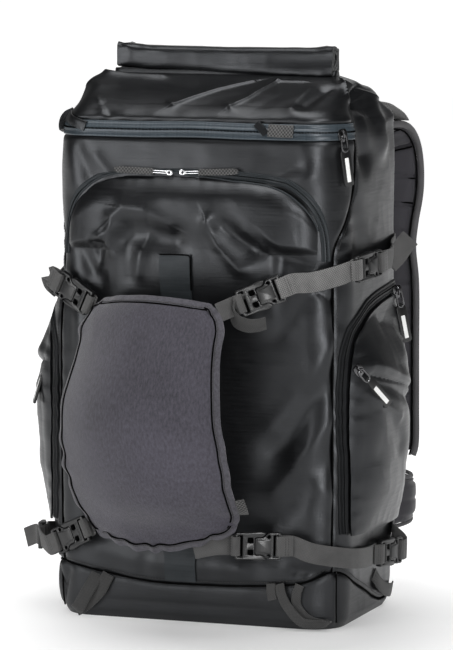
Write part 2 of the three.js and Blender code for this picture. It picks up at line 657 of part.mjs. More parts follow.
// Ladder lock on the lower left strap: a frame of three bars that the strap weaves through.
function ladderLock() {
  const [half, halfWidth, thick, bar] = [10, 14, 4, 3.2];
  const at = vec(-178, -64, 75);
  const along = vec(-0.15, 0.99, 0).normalize();
  const facing = vec(-0.99, -0.15, 0).normalize();
  const sideways = facing.clone().cross(along);
  const slotHalf = webWidth / 2 + 1;
  const hole = (x0, x1) => [[x0, -slotHalf], [x1, -slotHalf], [x1, slotHalf], [x0, slotHalf]];
  const outline = [[-half, -halfWidth], [half, -halfWidth], [half, halfWidth], [-half, halfWidth]];
  const middle = bar / 2;
  const inner = slotHalf - 0.2;
  const far = [[middle, -inner], [half - bar, -inner], [half - bar, inner], [middle, inner]];
  const part = plateGeometry(outline, [hole(-half + bar, -middle), far], thick);
  add("ladder_lock", placed(part, at, along, facing), "plastic");
  const spot = (a, n) => at.clone().addScaledVector(along, a).addScaledVector(facing, n);
  const weave = [spot(-16, -2.2), spot(-9, -3.3), spot(-5.6, -3.1), spot(-4, 0), spot(-3.6, 3.4)];
  const barAt = at.clone().addScaledVector(along, half - bar / 2 - barMiddle);
  return { at: barAt, along, facing, sideways, weave };
}

// The folded end of a strap round a buckle's bar, from its free end to the layer that runs on.
function barFold(c, end, free = 13) {
  const bar = c.at.clone().addScaledVector(c.along, end * barMiddle);
  const inward = c.along.clone().multiplyScalar(-end);
  const high = clip.thick / 2 + seat + webThick / 2 + 0.1;
  const turn = clip.bar / 2 + seat + webThick / 2 + 0.1;
  const spot = (a, n) => bar.clone().addScaledVector(inward, a).addScaledVector(c.facing, n);
  return [
    spot(-free, 1.2), spot(-clip.bar / 2 - 1.5, high), spot(turn - 0.6, high), spot(turn, high - 0.6),
    spot(turn, 0.6 - high), spot(turn - 0.6, -high), spot(-clip.bar / 2 - 1.5, -high), spot(-13, -1.2),
  ];
}

function fromFold(c, end, run, free) {
  const fold = barFold(c, end, free);
  const upright = vec(0, 0, Math.sign(c.sideways.z));
  const turned = run.map((_, i) => c.sideways.clone().lerp(upright, Math.min(1, (i + 1) / 2)));
  return { points: [...fold, ...run], sides: [...fold.map(() => c.sideways), ...turned] };
}

// Straps between the holder's buckles and the sides, and on to the back seams.
function straps() {
  const between = [
    {
      name: "strap_upper_right",
      from: "upper_right",
      to: "side_upper",
      run: [vec(130, -110, 350), vec(152, -93, 356)],
    },
    {
      name: "strap_lower_right",
      from: "lower_right",
      to: "side_lower",
      run: [vec(130, -112, 81), vec(151, -93, 75), vec(162, -66, 70), vec(164, -36, 67)],
    },
  ];
  for (const b of between) {
    const [first, last] = [clipNamed(b.from), clipNamed(b.to)];
    const start = barFold(first, 1);
    const finish = barFold(last, -1).reverse();
    const points = [...start, ...b.run, ...finish];
    const sides = points.map((_, i) => {
      const t = THREE.MathUtils.clamp((i - start.length + 1) / (b.run.length + 1), 0, 1);
      return first.sideways.clone().lerp(last.sideways, t);
    });
    add(b.name, ribbonGeometry(points, sides), "webbing");
  }
  // Runs along the sides to the back seams: place along the wall, height, distance from the wall.
  const along = (side, rows) => rows.map(([across, z, lift]) => faces[side](across, z, lift));
  const seamEnd = 1.25;
  const lock = ladderLock();
  const fixedEnd = barFold(lock, 1);
  const fixedRun = along("left", [
    [-212, 73, 7], [-240, 72, 4], [-272, 74, 3], [-299, 77, 2.6], [-311, 79, seamEnd],
  ]);
  const fixedSides = [...fixedEnd, ...fixedRun].map(() => lock.sideways);
  add("strap_end_lower_left", ribbonGeometry([...fixedEnd, ...fixedRun], fixedSides), "webbing");
  const ends = [
    {
      name: "strap_end_upper_right",
      from: "side_upper",
      run: [vec(175, 8, 366), ...along("right", [[272, 370, 6], [299, 373, 2.6], [311, 374, seamEnd]])],
    },
    {
      name: "strap_end_lower_right",
      from: "side_lower",
      run: [vec(172, 56, 65), ...along("right", [[298, 76, 4], [309, 81, 2.4], [315, 83, 1.6]])],
    },
    {
      name: "strap_upper_left",
      from: "upper_left",
      run: [
        vec(-149, -98, 336), vec(-157, -76, 333),
        ...along("left", [[-203, 338, 5], [-245, 352, 4], [-278, 366, 3], [-299, 373, 3.2], [-311, 374, 2]]),
      ],
    },
    {
      name: "strap_lower_left",
      from: "lower_left",
      run: [...lock.weave, vec(-190, -52, 73), vec(-204, -44, 67)],
    },
  ];
  for (const e of ends) {
    const { points, sides } = fromFold(clipNamed(e.from), 1, e.run);
    add(e.name, ribbonGeometry(points, sides), "webbing");
  }
  const tabs = [
    { name: "holder_tab_upper_left", from: "upper_left", run: [vec(-97.4, -120.6, 317.8)] },
    { name: "holder_tab_upper_right", from: "upper_right", run: [vec(51, -164.6, 322.3)] },
    { name: "holder_tab_lower_left", from: "lower_left", run: [vec(-100, -120.3, 98.8)] },
    {
      name: "holder_tab_lower_right",
      from: "lower_right",
      run: [vec(40, -141.5, 88), vec(18, -144.5, 83)],
    },
  ];
  for (const t of tabs) {
    const { points, sides } = fromFold(clipNamed(t.from), -1, t.run, 5);
    points.splice(points.length - t.run.length - 1, 1);
    sides.splice(0, 1);
    add(t.name, ribbonGeometry(points, sides, webWidth - 1), "webbing");
  }
}

// Zip pulls: a slider, the link it holds and the tab that hangs from it, in one.
const pull = { head: 11, headHalf: 4.5, link: 20, linkHalf: 3.2, tabHalf: 3.8, thick: 2.4 };
function pullGeometry(length, tabHalf = pull.tabHalf) {
  const { head, headHalf, link, linkHalf } = pull;
  const half = [[0, headHalf], [head, headHalf], [head + 1, linkHalf], [link, linkHalf]];
  half.push([link + 1, tabHalf], [length - 2, tabHalf], [length, tabHalf - 1.5]);
  const outline = [...half, ...half.slice().reverse().map(([x, y]) => [x, -y])];
  const hole = [[head, -1.6], [link - 1.5, -1.6], [link - 1.5, 1.6], [head, 1.6]];
  return plateGeometry(outline, [hole], pull.thick);
}
function zipPulls() {
  const onPocket = (s, z, lift) => sidePocketPoint(1, s, z, lift);
  const onArch = (across, z, lift = 0) => faces.front(across, z, bandSeat + 3.6 + lift);
  const pulls = [
    {
      name: "top_zip_pull",
      at: bodyPoint(153, 496, -1.3),
      end: bodyPoint(161, 443, 5),
      facing: vec(0.83, -0.56, 0),
      length: 54,
    },
    {
      name: "front_zip_pull_left",
      at: onArch(-31, 453),
      end: onArch(-88, 455.5, 1.5),
      facing: vec(0, -1, 0.05),
      length: 55,
    },
    {
      name: "front_zip_pull_right",
      at: onArch(-17, 453),
      end: onArch(40, 455.5, 1.5),
      facing: vec(0, -1, 0.05),
      length: 55,
    },
    {
      name: "side_zip_pull_right",
      at: faces.right(302, 331, bandSeat + 3.6),
      end: vec(178, 90, 270),
      facing: vec(1, 0.2, 0.2),
      length: 58,
    },
    {
      name: "side_pocket_pull_right",
      at: onPocket(0.02, 262, 5.2),
      end: vec(191, -30, 212),
      facing: vec(1, -0.6, 0),
      length: 62,
    },
    {
      name: "side_zip_pull_left",
      at: faces.left(-178, 262, bandSeat + 5),
      end: vec(-186, -62, 214),
      facing: vec(-1, -0.5, 0),
      length: 54,
    },
  ];
  for (const p of pulls) {
    const cord = p.name.startsWith("front");
    const part = pullGeometry(p.length, cord ? 3 : undefined);
    add(p.name, placed(part, p.at, p.end.clone().sub(p.at), p.facing), cord ? "metal" : "plastic");
  }
}

// Webbing loops sewn into the base seam, and the one along its right side.
function gearLoops() {
  const faceUp = vec(0, -1, 0);
  for (const [side, hand, start, lean] of [["left", -1, 98, 30], ["right", 1, 86, 46]]) {
    const legs = [
      [start + 2, -101.8, 30], [start + lean * 0.45, -103.5, 16], [start + lean, -105, 8],
      [start + lean + 4, -107.5, 6.5], [start + lean + 1, -110, 8.2], [start + lean * 0.6, -109.5, 16],
      [start + 16, -105.6, 28],
    ];
    const points = legs.map(([x, y, z]) => vec(hand * x, y, z));
    points.unshift(bodyPoint(hand * start, 42.5, 1.3));
    points.push(bodyPoint(hand * (start + 14), 42.5, 1.3));
    const sides = points.map((p, i) => {
      const way = points[Math.min(i + 1, 8)].clone().sub(points[Math.max(i - 1, 0)]);
      return way.cross(faceUp.clone().multiplyScalar(i < 4.5 ? 1 : -1));
    });
    add(`gear_loop_${side}`, ribbonGeometry(points, sides, 11), "webbing");
  }
  const sideRun = [[241, 43, 1.4], [250, 33, 4], [268, 23, 6], [290, 18, 6], [312, 16, 3.4]];
  const points = sideRun.map((row) => bodyPoint(...row));
  const sides = points.map((_, i) => {
    const way = points[Math.min(i + 1, 4)].clone().sub(points[Math.max(i - 1, 0)]);
    return way.cross(vec(1, 0, 0));
  });
  add("gear_loop_side", ribbonGeometry(points, sides, 14), "webbing");
}

// Tabs sewn into the top zip and the left seam, the coated strip down the front, and the holder's
// blank label.
function tabs() {
  const onZip = (across, z, lift) => bodyPoint(across, z, seat + 0.9 + lift);
  const zipTab = steps(4).map((t) => ({ across: blend(74, 110, t), z: 497 }));
  add("top_zip_tab", bandGeometry(zipTab, 13, webThick, onZip), "webbing");
  const stub = [[508, 3.8], [505, 5.6], [501, 6.6], [495, 5], [491, 2.6]];
  const stubRun = stub.map(([z, lift]) => bodyPoint(-172, z, lift));
  add("side_tab_left", ribbonGeometry(stubRun, vec(-0.2, 1, 0), 16, 2.4), "webbing");
  const strip = heightsBetween(baseSeam + 6, arch.seam - 4, 14).map((z) => ({ across: -12, z }));
  const onFront = (a, z, lift) => faces.front(a, z, bandSeat + 0.3 + lift);
  add("centre_strip", bandGeometry(strip, 33, 1.2, onFront), "zip");
  const label = [0.74, 0.79, 0.84].map((t) => holderPoint(1, t, holderWall / 2).add(vec(5.4, 1, 0)));
  add("holder_label", ribbonGeometry(label, vec(1, 0.35, 0), 9.5, 1.4), "webbing");
}

// Harness: padded shoulder straps that run into webbing at the base, the load lifters, the hip belt
// with its plain clasp, and the grab handle.
function harness() {
  const strapRows = [
    { x: 82, y: 111.5, z: 477, width: 74, thick: 9, turn: 0.02 },
    { x: 87, y: 140, z: 487, width: 76, thick: 11, turn: 0.12 },
    { x: 99, y: 178, z: 480, width: 78, thick: 12, turn: 0.28 },
    { x: 104, y: 200, z: 457, width: 78, thick: 12, turn: 0.34 },
    { x: 106, y: 203, z: 422, width: 77, thick: 12, turn: 0.32 },
    { x: 105, y: 191, z: 386, width: 75, thick: 12, turn: 0.26 },
    { x: 105, y: 183, z: 358, width: 75, thick: 12, turn: 0.22 },
    { x: 109, y: 182, z: 320, width: 75, thick: 12, turn: 0.2 },
    { x: 110, y: 182, z: 250, width: 74, thick: 12, turn: 0.2 },
    { x: 110, y: 183, z: 190, width: 74, thick: 12, turn: 0.2 },
    { x: 110, y: 184, z: 148, width: 73, thick: 11, turn: 0.2 },
    { x: 110, y: 183, z: 139, width: 68, thick: 7, turn: 0.15 },
    { x: 112, y: 177, z: 134, width: 26, thick: 3, turn: 0 },
    { x: 115, y: 150, z: 145, width: 25, thick: 2.4, turn: 0 },
    { x: 118, y: 122, z: 158, width: 25, thick: 2.4, turn: 0 },
    { x: 118, y: 103, z: 165, width: 25, thick: 2.4, turn: 0 },
  ];
  for (const [side, hand] of [["right", 1], ["left", -1]]) {
    const points = strapRows.map((r) => vec(hand * r.x, r.y, r.z));
    const sides = strapRows.map((r) => vec(hand, r.turn, 0));
    const widths = strapRows.map((r) => r.width);
    const thicks = strapRows.map((r) => r.thick);
    add(`shoulder_strap_${side}`, paddedGeometry(points, sides, widths, thicks), "padding");
    const lifter = [[125, 118, 513], [128, 140, 507], [129, 160, 500.5], [128, 178, 493]];
    const web = lifter.map(([x, y, z]) => vec(hand * x, y, z));
    web.unshift(bodyPoint(hand * 300, 527, 4), bodyPoint(hand * 312, 519, 5));
    add(`load_lifter_${side}`, ribbonGeometry(web, vec(1, 0, 0)), "webbing");
  }
  const beltRows = [
    { x: 0, y: 114.1, z: 98, high: 80, thick: 12 },
    { x: 50, y: 114.3, z: 98, high: 80, thick: 13 },
    { x: 100, y: 119.1, z: 98, high: 70, thick: 14 },
    { x: 133, y: 138, z: 96, high: 58, thick: 14 },
    { x: 145, y: 160, z: 95, high: 50, thick: 13 },
    { x: 138, y: 188, z: 96, high: 48, thick: 12 },
    { x: 110, y: 212, z: 98, high: 47, thick: 12 },
    { x: 88, y: 223, z: 98, high: 44, thick: 10 },
    { x: 80, y: 226.4, z: 98, high: 26, thick: 4 },
  ];
  const belt = [...beltRows.slice(1).reverse().map((r) => ({ ...r, x: -r.x })), ...beltRows];
  add("hip_belt", paddedGeometry(
    belt.map((r) => vec(r.x, r.y, r.z)),
    belt.map(() => vec(0, 0, 1)),
    belt.map((r) => r.high),
    belt.map((r) => r.thick),
  ), "padding");
  const webEnd = 79.6;
  const claspRows = [[-webEnd, 1], [-30, 1], [-29, 4], [29, 4], [30, 1], [webEnd, 1]];
  const clasp = claspRows.map(([x]) => vec(x, 227.4 + 9 * (1 - (x / webEnd) ** 2), 98));
  add("hip_belt_clasp", paddedGeometry(
    clasp,
    clasp.map(() => vec(0, 0, 1)),
    claspRows.map(([, t]) => (t > 1 ? 44 : 25)),
    claspRows.map(([, t]) => (t > 1 ? 10 : 2.4)),
  ), "plastic");
  const grip = steps(10).map((t) => {
    const angle = Math.PI * t;
    return vec(-52 * Math.cos(angle), 96.2 + 30 * Math.sin(angle) ** 0.7, 494 + 10 * Math.sin(angle));
  });
  add("grab_handle", ribbonGeometry(grip, vec(0, 0.2, 1), 22, 3), "webbing");
}

bodyPanels();
backPanel();
basePanel();
hoodPanel();
rollTop();
frontPocket();
zips();
sidePockets();
gearHolder();
buckles();
straps();
zipPulls();
gearLoops();
tabs();
harness();

export default bag;
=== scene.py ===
import math

import bmesh
import bpy
import numpy as np
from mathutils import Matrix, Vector


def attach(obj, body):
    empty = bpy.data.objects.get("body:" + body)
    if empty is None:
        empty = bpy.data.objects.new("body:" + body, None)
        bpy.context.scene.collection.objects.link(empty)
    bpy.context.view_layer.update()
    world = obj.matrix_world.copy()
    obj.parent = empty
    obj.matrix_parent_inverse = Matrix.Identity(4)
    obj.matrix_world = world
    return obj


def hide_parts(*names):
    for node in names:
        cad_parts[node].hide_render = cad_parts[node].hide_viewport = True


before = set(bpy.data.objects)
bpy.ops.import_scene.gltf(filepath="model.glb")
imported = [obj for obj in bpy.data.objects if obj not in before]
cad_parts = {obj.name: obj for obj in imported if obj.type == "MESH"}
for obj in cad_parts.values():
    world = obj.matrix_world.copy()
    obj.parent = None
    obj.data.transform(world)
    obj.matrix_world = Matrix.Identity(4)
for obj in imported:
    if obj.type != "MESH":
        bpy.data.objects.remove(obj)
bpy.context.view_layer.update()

# Lengths below are millimetres in the CAD frame: X right, Y to the harness, Z up. Meshes are made in metres.
mm = 0.001
hands = (("Right", 1), ("Left", -1))


class Wire:  # a node's socket that can be reckoned with
    def __init__(self, tree, socket=None):
        self.tree, self.socket = tree, socket

    def node(self, kind, links=None, settings=None, out=0):
        made = self.tree.nodes.new(kind)
        for key, value in (settings or {}).items():
            setattr(made, key, value)
        for key, value in (links or {}).items():
            if isinstance(value, Wire):
                self.tree.links.new(value.socket, made.inputs[key])
            else:
                made.inputs[key].default_value = value
        return Wire(self.tree, made.outputs[out])

    def maths(self, operation, first, second=0.0):
        return self.node("ShaderNodeMath", {0: first, 1: second}, {"operation": operation})

    def __add__(self, other):
        return self.maths("ADD", self, other)

    def __sub__(self, other):
        return self.maths("SUBTRACT", self, other)

    def __rsub__(self, other):
        return self.maths("SUBTRACT", other, self)

    def __mul__(self, other):
        return self.maths("MULTIPLY", self, other)

    __radd__ = __add__
    __rmul__ = __mul__

    def sine(self):
        return self.maths("SINE", self)

    def clamp(self, low, high):
        return self.node("ShaderNodeMapRange", {"Value": self, "From Min": low, "From Max": high})

    def between(self, first, second):  # colours mixed by this value
        colours = {0: self, 6: (*first, 1), 7: (*second, 1)}
        return self.node("ShaderNodeMix", colours, {"data_type": "RGBA"}, 2)

    def parts(self):  # the three numbers of a vector
        split = self.node("ShaderNodeSeparateXYZ", {"Vector": self}).socket.node
        return [Wire(self.tree, socket) for socket in split.outputs]

    def noise(self, scale, detail=2.0, rough=0.5):  # at this place
        return self.node("ShaderNodeTexNoise", {"Vector": self, "Scale": scale, "Detail": detail,
                                                "Roughness": rough})

    def stretch(self, *scale):
        return self.node("ShaderNodeMapping", {"Vector": self, "Scale": scale})

    def bump(self, strength, distance):  # relief of this height
        return self.node("ShaderNodeBump", {"Height": self, "Strength": strength, "Distance": distance})


# camera at the photograph's angle, then the light and the floor
shot = {"azimuth": 20, "elevation": 6.5, "distance": 4.08, "target": (0, 0, 0.291), "focalPixels": 4000,
        "longSide": 650, "sensor": 36}


def link(name, data):
    made = bpy.data.objects.new(name, data)
    bpy.context.scene.collection.objects.link(made)
    return made


def meshOf(thing):  # its mesh with the modifiers applied
    return bpy.data.meshes.new_from_object(thing.evaluated_get(bpy.context.evaluated_depsgraph_get()))


def aim(thing, target, azimuth, elevation, distance):  # stand off the target and look at it
    a, e = math.radians(azimuth), math.radians(elevation)
    away = Vector((math.sin(a) * math.cos(e), -math.cos(a) * math.cos(e), math.sin(e)))
    thing.location = Vector(target) + away * distance
    thing.rotation_euler = (-away).to_track_quat("-Z", "Y").to_euler()


def makeCamera():
    data = bpy.data.cameras.new("camera")
    data.sensor_width = shot["sensor"]
    data.lens = shot["sensor"] * shot["focalPixels"] / shot["longSide"]
    data.clip_end = 50
    camera = link("camera", data)
    aim(camera, shot["target"], shot["azimuth"], shot["elevation"], shot["distance"])
    bpy.context.scene.camera = camera


makeCamera()

studio = {"lights": [  # name, azimuth, elevation, distance, size, watts
                     ("keyLight", -34, 8, 2.6, 1.2, 27), ("topLight", -10, 82, 2.3, 1.5, 38),
                     ("sideLight", 50, 40, 2.6, 0.9, 27), ("frontLight", 32, 6, 4.6, 0.9, 70),
                     ("backLight", 190, 24, 2.8, 1.6, 5)],
          "middle": (0, 0, 0.3), "floorHalf": 9, "backdrop": 1.08, "worldFront": 0.04, "worldBack": 0.17,
          "worldReach": 0.7}


def makeStudio():
    for name, *place, size, watts in studio["lights"]:
        data = bpy.data.lights.new(name, "AREA")
        data.size = size
        data.energy = watts
        aim(link(name, data), studio["middle"], *place)
    bpy.context.scene.view_settings.view_transform = "Standard"
    world = bpy.data.worlds.new("studioWorld")
    bpy.context.scene.world = world
    world.use_nodes = True
    tree, white = world.node_tree, (1, 1, 1, 1)
    tree.nodes.remove(tree.nodes["Background"])
    put = Wire(tree).node
    _, back, up = put("ShaderNodeTexCoord", out="Generated").parts()
    grade = put("ShaderNodeMapRange", {  # bright behind the bag and low down
        "Value": back - up, "From Max": studio["worldReach"], "To Min": studio["worldFront"],
        "To Max": studio["worldBack"]})
    fill = put("ShaderNodeBackground", {"Color": white, "Strength": grade})
    seen = put("ShaderNodeBackground", {"Color": white, "Strength": studio["backdrop"]})
    byCamera = put("ShaderNodeLightPath", out="Is Camera Ray")
    choice = put("ShaderNodeMixShader", {0: byCamera, 1: fill, 2: seen})
    tree.links.new(choice.socket, tree.nodes["World Output"].inputs["Surface"])


makeStudio()
print("camera and lights placed")


# small array helpers
def unit(v):
    return v / np.maximum(np.linalg.norm(v, axis=-1, keepdims=True), 1e-9)


def blend(a, b, t):
    return a + (b - a) * t


def ease(x, low, high):
    t = np.clip((np.asarray(x, float) - low) / (high - low), 0, 1)
    return t * t * (3 - 2 * t)


def power(x, by):  # with the sign kept
    return np.sign(x) * np.abs(x) ** by


def lengthAlong(points):
    return np.concatenate([[0], np.cumsum(np.linalg.norm(np.diff(points, axis=0), axis=1))])


def readTable(rows, at):  # smooth curve through rows whose first column is the key
    rows, at = np.asarray(rows, float), np.asarray(at, float)
    key = rows[:, 0]
    last = len(key) - 1
    i = np.clip(np.searchsorted(key, at, side="left") - 1, 0, last - 1)

    def slope(a, b):
        return (rows[b, 1:] - rows[a, 1:]) / (key[b] - key[a])[..., None]

    span = (key[i + 1] - key[i])[..., None]
    t = np.clip((at - key[i])[..., None] / span, 0, 1)
    m0 = slope(np.maximum(i - 1, 0), np.minimum(i + 1, last)) * span
    m1 = slope(i, np.minimum(i + 2, last)) * span
    leave = (rows[i, 1:] * (1 + 2 * t) + m0 * t) * (1 - t) ** 2
    return leave + (rows[i + 1, 1:] * (3 - 2 * t) - m1 * (1 - t)) * t * t


def smoothRun(points, step, *others):  # even points on a smooth curve, with other columns carried along
    points = np.asarray(points, float)
    key = lengthAlong(points)
    rows = np.column_stack([key, points, *[np.asarray(o, float) for o in others]])
    made = readTable(rows, np.linspace(0, key[-1], max(3, int(round(key[-1] / step)) + 1)))
    return made[:, :3], made[:, 3:]


def noise(u, v, size, seed):  # smooth value noise from -1 to 1
    cells = 97
    lattice = np.random.default_rng(seed).random((cells, cells)) * 2 - 1
    x, y = np.asarray(u, float) / size, np.asarray(v, float) / size
    i, j = np.floor(x).astype(int), np.floor(y).astype(int)
    fx, fy = ease(x - i, 0, 1), ease(y - j, 0, 1)
    i, j, iNext, jNext = (k % cells for k in (i, j, i + 1, j + 1))
    low = blend(lattice[i, j], lattice[iNext, j], fx)
    high = blend(lattice[i, jNext], lattice[iNext, jNext], fx)
    return blend(low, high, fy)


def crumple(u, v, size, seed):  # thin ridges, as slack coated cloth shows
    return 1 - 2 * np.abs(noise(u, v, size, seed)) ** 0.7


# forms: points, faces, texture places and material numbers, kept as arrays until a piece is made
def makeForm(points, faces, uv=None, material=0):
    points = np.asarray(points, float)
    uv = points[:, :2] * mm if uv is None else np.asarray(uv, float)
    return {"points": points, "faces": [tuple(int(i) for i in f) for f in faces], "uv": uv,
            "materials": [material] * len(faces)}


def joinForms(forms):
    points, faces, uv, materials, start = [], [], [], [], 0
    for f in forms:
        points.append(f["points"])
        uv.append(f["uv"])
        faces += [tuple(i + start for i in face) for face in f["faces"]]
        materials += f["materials"]
        start += len(f["points"])
    return {"points": np.concatenate(points), "faces": faces, "uv": np.concatenate(uv),
            "materials": materials}


def placeOf(at, along, facing):  # middle, way along, way that it faces, side
    along, facing = unit(np.array(along, float)), np.array(facing, float)
    facing = unit(facing - along * (facing @ along))
    return np.array(at, float), along, facing, np.cross(facing, along)


def moveForm(form, *place):
    at, along, facing, side = placeOf(*place)
    return dict(form, points=form["points"] @ np.stack([along, side, facing]) + at)


def nodeOf(name):  # the solid that a piece takes the place of
    return "".join("_" + letter.lower() if letter.isupper() else letter for letter in name)


def makePiece(name, form, looks, slotName, node=None, sharp=50):  # its node is by its name, or none if empty
    mesh = bpy.data.meshes.new(name)
    mesh.from_pydata((form["points"] * mm).tolist(), [], form["faces"])
    loops = np.zeros(len(mesh.loops), int)
    mesh.loops.foreach_get("vertex_index", loops)
    mesh.uv_layers.new(name="weave").data.foreach_set("uv", form["uv"][loops].astype(np.float32).ravel())
    for look in looks.split():
        mesh.materials.append(finish[look])
    mesh.polygons.foreach_set("material_index", form["materials"])
    mesh.shade_smooth()
    mesh.set_sharp_from_angle(angle=math.radians(sharp))
    mesh.validate()
    return declare(link(name, mesh), slotName, nodeOf(name) if node is None else node)


def declare(piece, slotName, node=""):
    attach(piece, "root")
    if node:
        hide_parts(node)
    return piece


def gridNormals(grid, wrap=False):
    if wrap:
        across = np.roll(grid, -1, 1) - np.roll(grid, 1, 1)
    else:
        across = np.gradient(grid, axis=1)
    return unit(np.cross(across, np.gradient(grid, axis=0)))


def sheetForm(outer, thick, uv, wrap=False, floor=False):
    # a wall from a grid whose columns run to the right and whose rows run up, seen from outside
    rows, cols = outer.shape[:2]
    inner = outer - gridNormals(outer, wrap) * thick
    if floor:
        inner[..., 2] = np.maximum(inner[..., 2], outer[..., 2].min() + thick)
    index = np.arange(rows * cols).reshape(rows, cols)
    here = index if wrap else index[:, :-1]
    after = np.roll(index, -1, 1) if wrap else index[:, 1:]
    top = np.stack([here[:-1], after[:-1], after[1:], here[1:]], -1).reshape(-1, 4)
    count = rows * cols
    faces = [top, top[:, ::-1] + count]
    faces.append(np.stack([here[-1], after[-1], after[-1] + count, here[-1] + count], -1))
    if not floor:
        faces.append(np.stack([after[0], here[0], here[0] + count, after[0] + count], -1))
    if not wrap:
        for line in (index[:, 0], index[::-1, -1]):
            faces.append(np.stack([line[:-1], line[1:], line[1:] + count, line[:-1] + count], -1))
    faces = np.concatenate(faces).tolist()
    if floor:
        faces += [index[0, ::-1].tolist(), (index[0] + count).tolist()]
    points = np.concatenate([outer.reshape(-1, 3), inner.reshape(-1, 3)])
    flat = np.asarray(uv, float).reshape(-1, 2) * mm
    return makeForm(points, faces, np.concatenate([flat, flat]))


def loftForm(loops, uv, endless=False, material=0):  # skin round loops of equal count, ends closed
    rows, cols = loops.shape[:2]
    index = np.arange(rows * cols).reshape(rows, cols)
    after = np.roll(index, -1, 1)
    low, high = (index, np.roll(index, -1, 0)) if endless else (index[:-1], index[1:])
    lowAfter, highAfter = (after, np.roll(after, -1, 0)) if endless else (after[:-1], after[1:])
    faces = np.stack([low, lowAfter, highAfter, high], -1).reshape(-1, 4).tolist()
    corner = loops.reshape(-1, 3)
    quads = np.asarray(faces)
    turned = np.cross(corner[quads[:, 2]] - corner[quads[:, 0]], corner[quads[:, 3]] - corner[quads[:, 1]])
    inside = np.sum(turned * (corner[quads].mean(1) - corner.mean(0))) < 0
    if not endless:
        faces += [index[0, ::-1].tolist(), index[-1].tolist()]
    if inside:
        faces = [face[::-1] for face in faces]
    return makeForm(corner, faces, np.asarray(uv, float).reshape(-1, 2) * mm, material)


def frameAlong(points, sides):
    way = unit(np.gradient(points, axis=0))
    sides = np.broadcast_to(np.asarray(sides, float), points.shape)
    sides = unit(sides - way * np.sum(sides * way, -1, keepdims=True))
    return way, sides, np.cross(sides, way)


webSection = np.array([(-0.5, -0.25), (-0.47, -0.5), (0, -0.5), (0.47, -0.5), (0.5, -0.25), (0.5, 0.25),
                       (0.47, 0.5), (0.23, 0.55), (-0.23, 0.55), (-0.47, 0.5), (-0.5, 0.25)])


def bandForm(points, sides, section, material=0, widths=None):  # section in millimetres along sides and out
    _, side, out = frameAlong(points, sides)
    scale = np.ones(len(points)) if widths is None else np.asarray(widths, float)
    wide = section[:, 0][None, :, None] * scale[:, None, None]
    loops = points[:, None] + side[:, None] * wide + out[:, None] * section[:, 1][None, :, None]
    run = lengthAlong(points)
    uv = np.stack(np.broadcast_arrays(section[:, 0][None] * scale[:, None], run[:, None]), -1)
    return loftForm(loops[:, ::-1], uv[:, ::-1], material=material)


def tubeForm(points, radius, endless=False, material=0, count=8):
    points = np.asarray(points, float)
    way = np.roll(points, -1, 0) - np.roll(points, 1, 0) if endless else np.gradient(points, axis=0)
    way = unit(way)
    side = np.cross(way, (0.31, 0.22, 0.92))
    for i in range(1, len(points)):  # carry the side along so that the tube doesn't twist
        side[i] = side[i - 1] - way[i] * (side[i - 1] @ way[i])
    side = unit(side)
    out = np.cross(way, side)
    angle = np.linspace(0, 2 * np.pi, count, endpoint=False)
    ring = side[:, None] * np.cos(angle)[None, :, None] + out[:, None] * np.sin(angle)[None, :, None]
    run = lengthAlong(points)
    uv = np.stack(np.broadcast_arrays(angle[None] * radius, run[:, None]), -1)
    return loftForm(points[:, None] + ring * radius, uv, endless, material)


def rounded(corners, radius, arc=3):  # polygon with its corners turned into short arcs
    corners = np.asarray(corners, float)
    made = []
    for i, here in enumerate(corners):
        before, after = corners[i - 1], corners[(i + 1) % len(corners)]
        cut = min(radius, np.linalg.norm(before - here) * 0.45, np.linalg.norm(after - here) * 0.45)
        start, end = here + unit(before - here) * cut, here + unit(after - here) * cut
        for t in np.linspace(0, 1, arc + 1):
            made.append((1 - t) ** 2 * start + 2 * t * (1 - t) * here + t * t * end)
    return np.array(made)


def plateForm(outline, holes, low, high, bevel=0.5, material=0):  # flat moulding with softened edges
    curve = bpy.data.curves.new("plate", "CURVE")
    curve.dimensions = "2D"
    curve.fill_mode = "BOTH"
    for ring in [outline, *holes]:
        spline = curve.splines.new("POLY")
        spline.points.add(len(ring) - 1)
        corners = np.column_stack([ring, np.zeros(len(ring)), np.ones(len(ring))])
        spline.points.foreach_set("co", corners.ravel())
        spline.use_cyclic_u = True
    curve.extrude = (high - low) / 2 - bevel
    curve.bevel_depth = bevel
    curve.bevel_resolution = 1
    curve.offset = -bevel
    holder = link("plate", curve)
    mesh = meshOf(holder)
    work = bmesh.new()
    work.from_mesh(mesh)
    bmesh.ops.remove_doubles(work, verts=work.verts, dist=0.001)
    bmesh.ops.recalc_face_normals(work, faces=work.faces)
    points = np.array([v.co for v in work.verts])
    work.verts.index_update()
    faces = [[v.index for v in f.verts] for f in work.faces]
    work.free()
    bpy.data.objects.remove(holder)
    bpy.data.curves.remove(curve)
    bpy.data.meshes.remove(mesh)
    points[:, 2] += (low + high) / 2
    return makeForm(points, faces, material=material)


# finishes
def makeFinish(name, values, build):
    material = bpy.data.materials.new(name)
    material.use_nodes = True
    tree = material.node_tree
    shader = tree.nodes["Principled BSDF"]
    for key, value in values.items():
        shader.inputs[key].default_value = value
    places = tree.nodes.new("ShaderNodeTexCoord")
    cloth, solid = Wire(tree, places.outputs["UV"]), Wire(tree, places.outputs["Object"])
    for key, wire in build(cloth, solid).items():
        tree.links.new(wire.socket, shader.inputs[key])
    return material


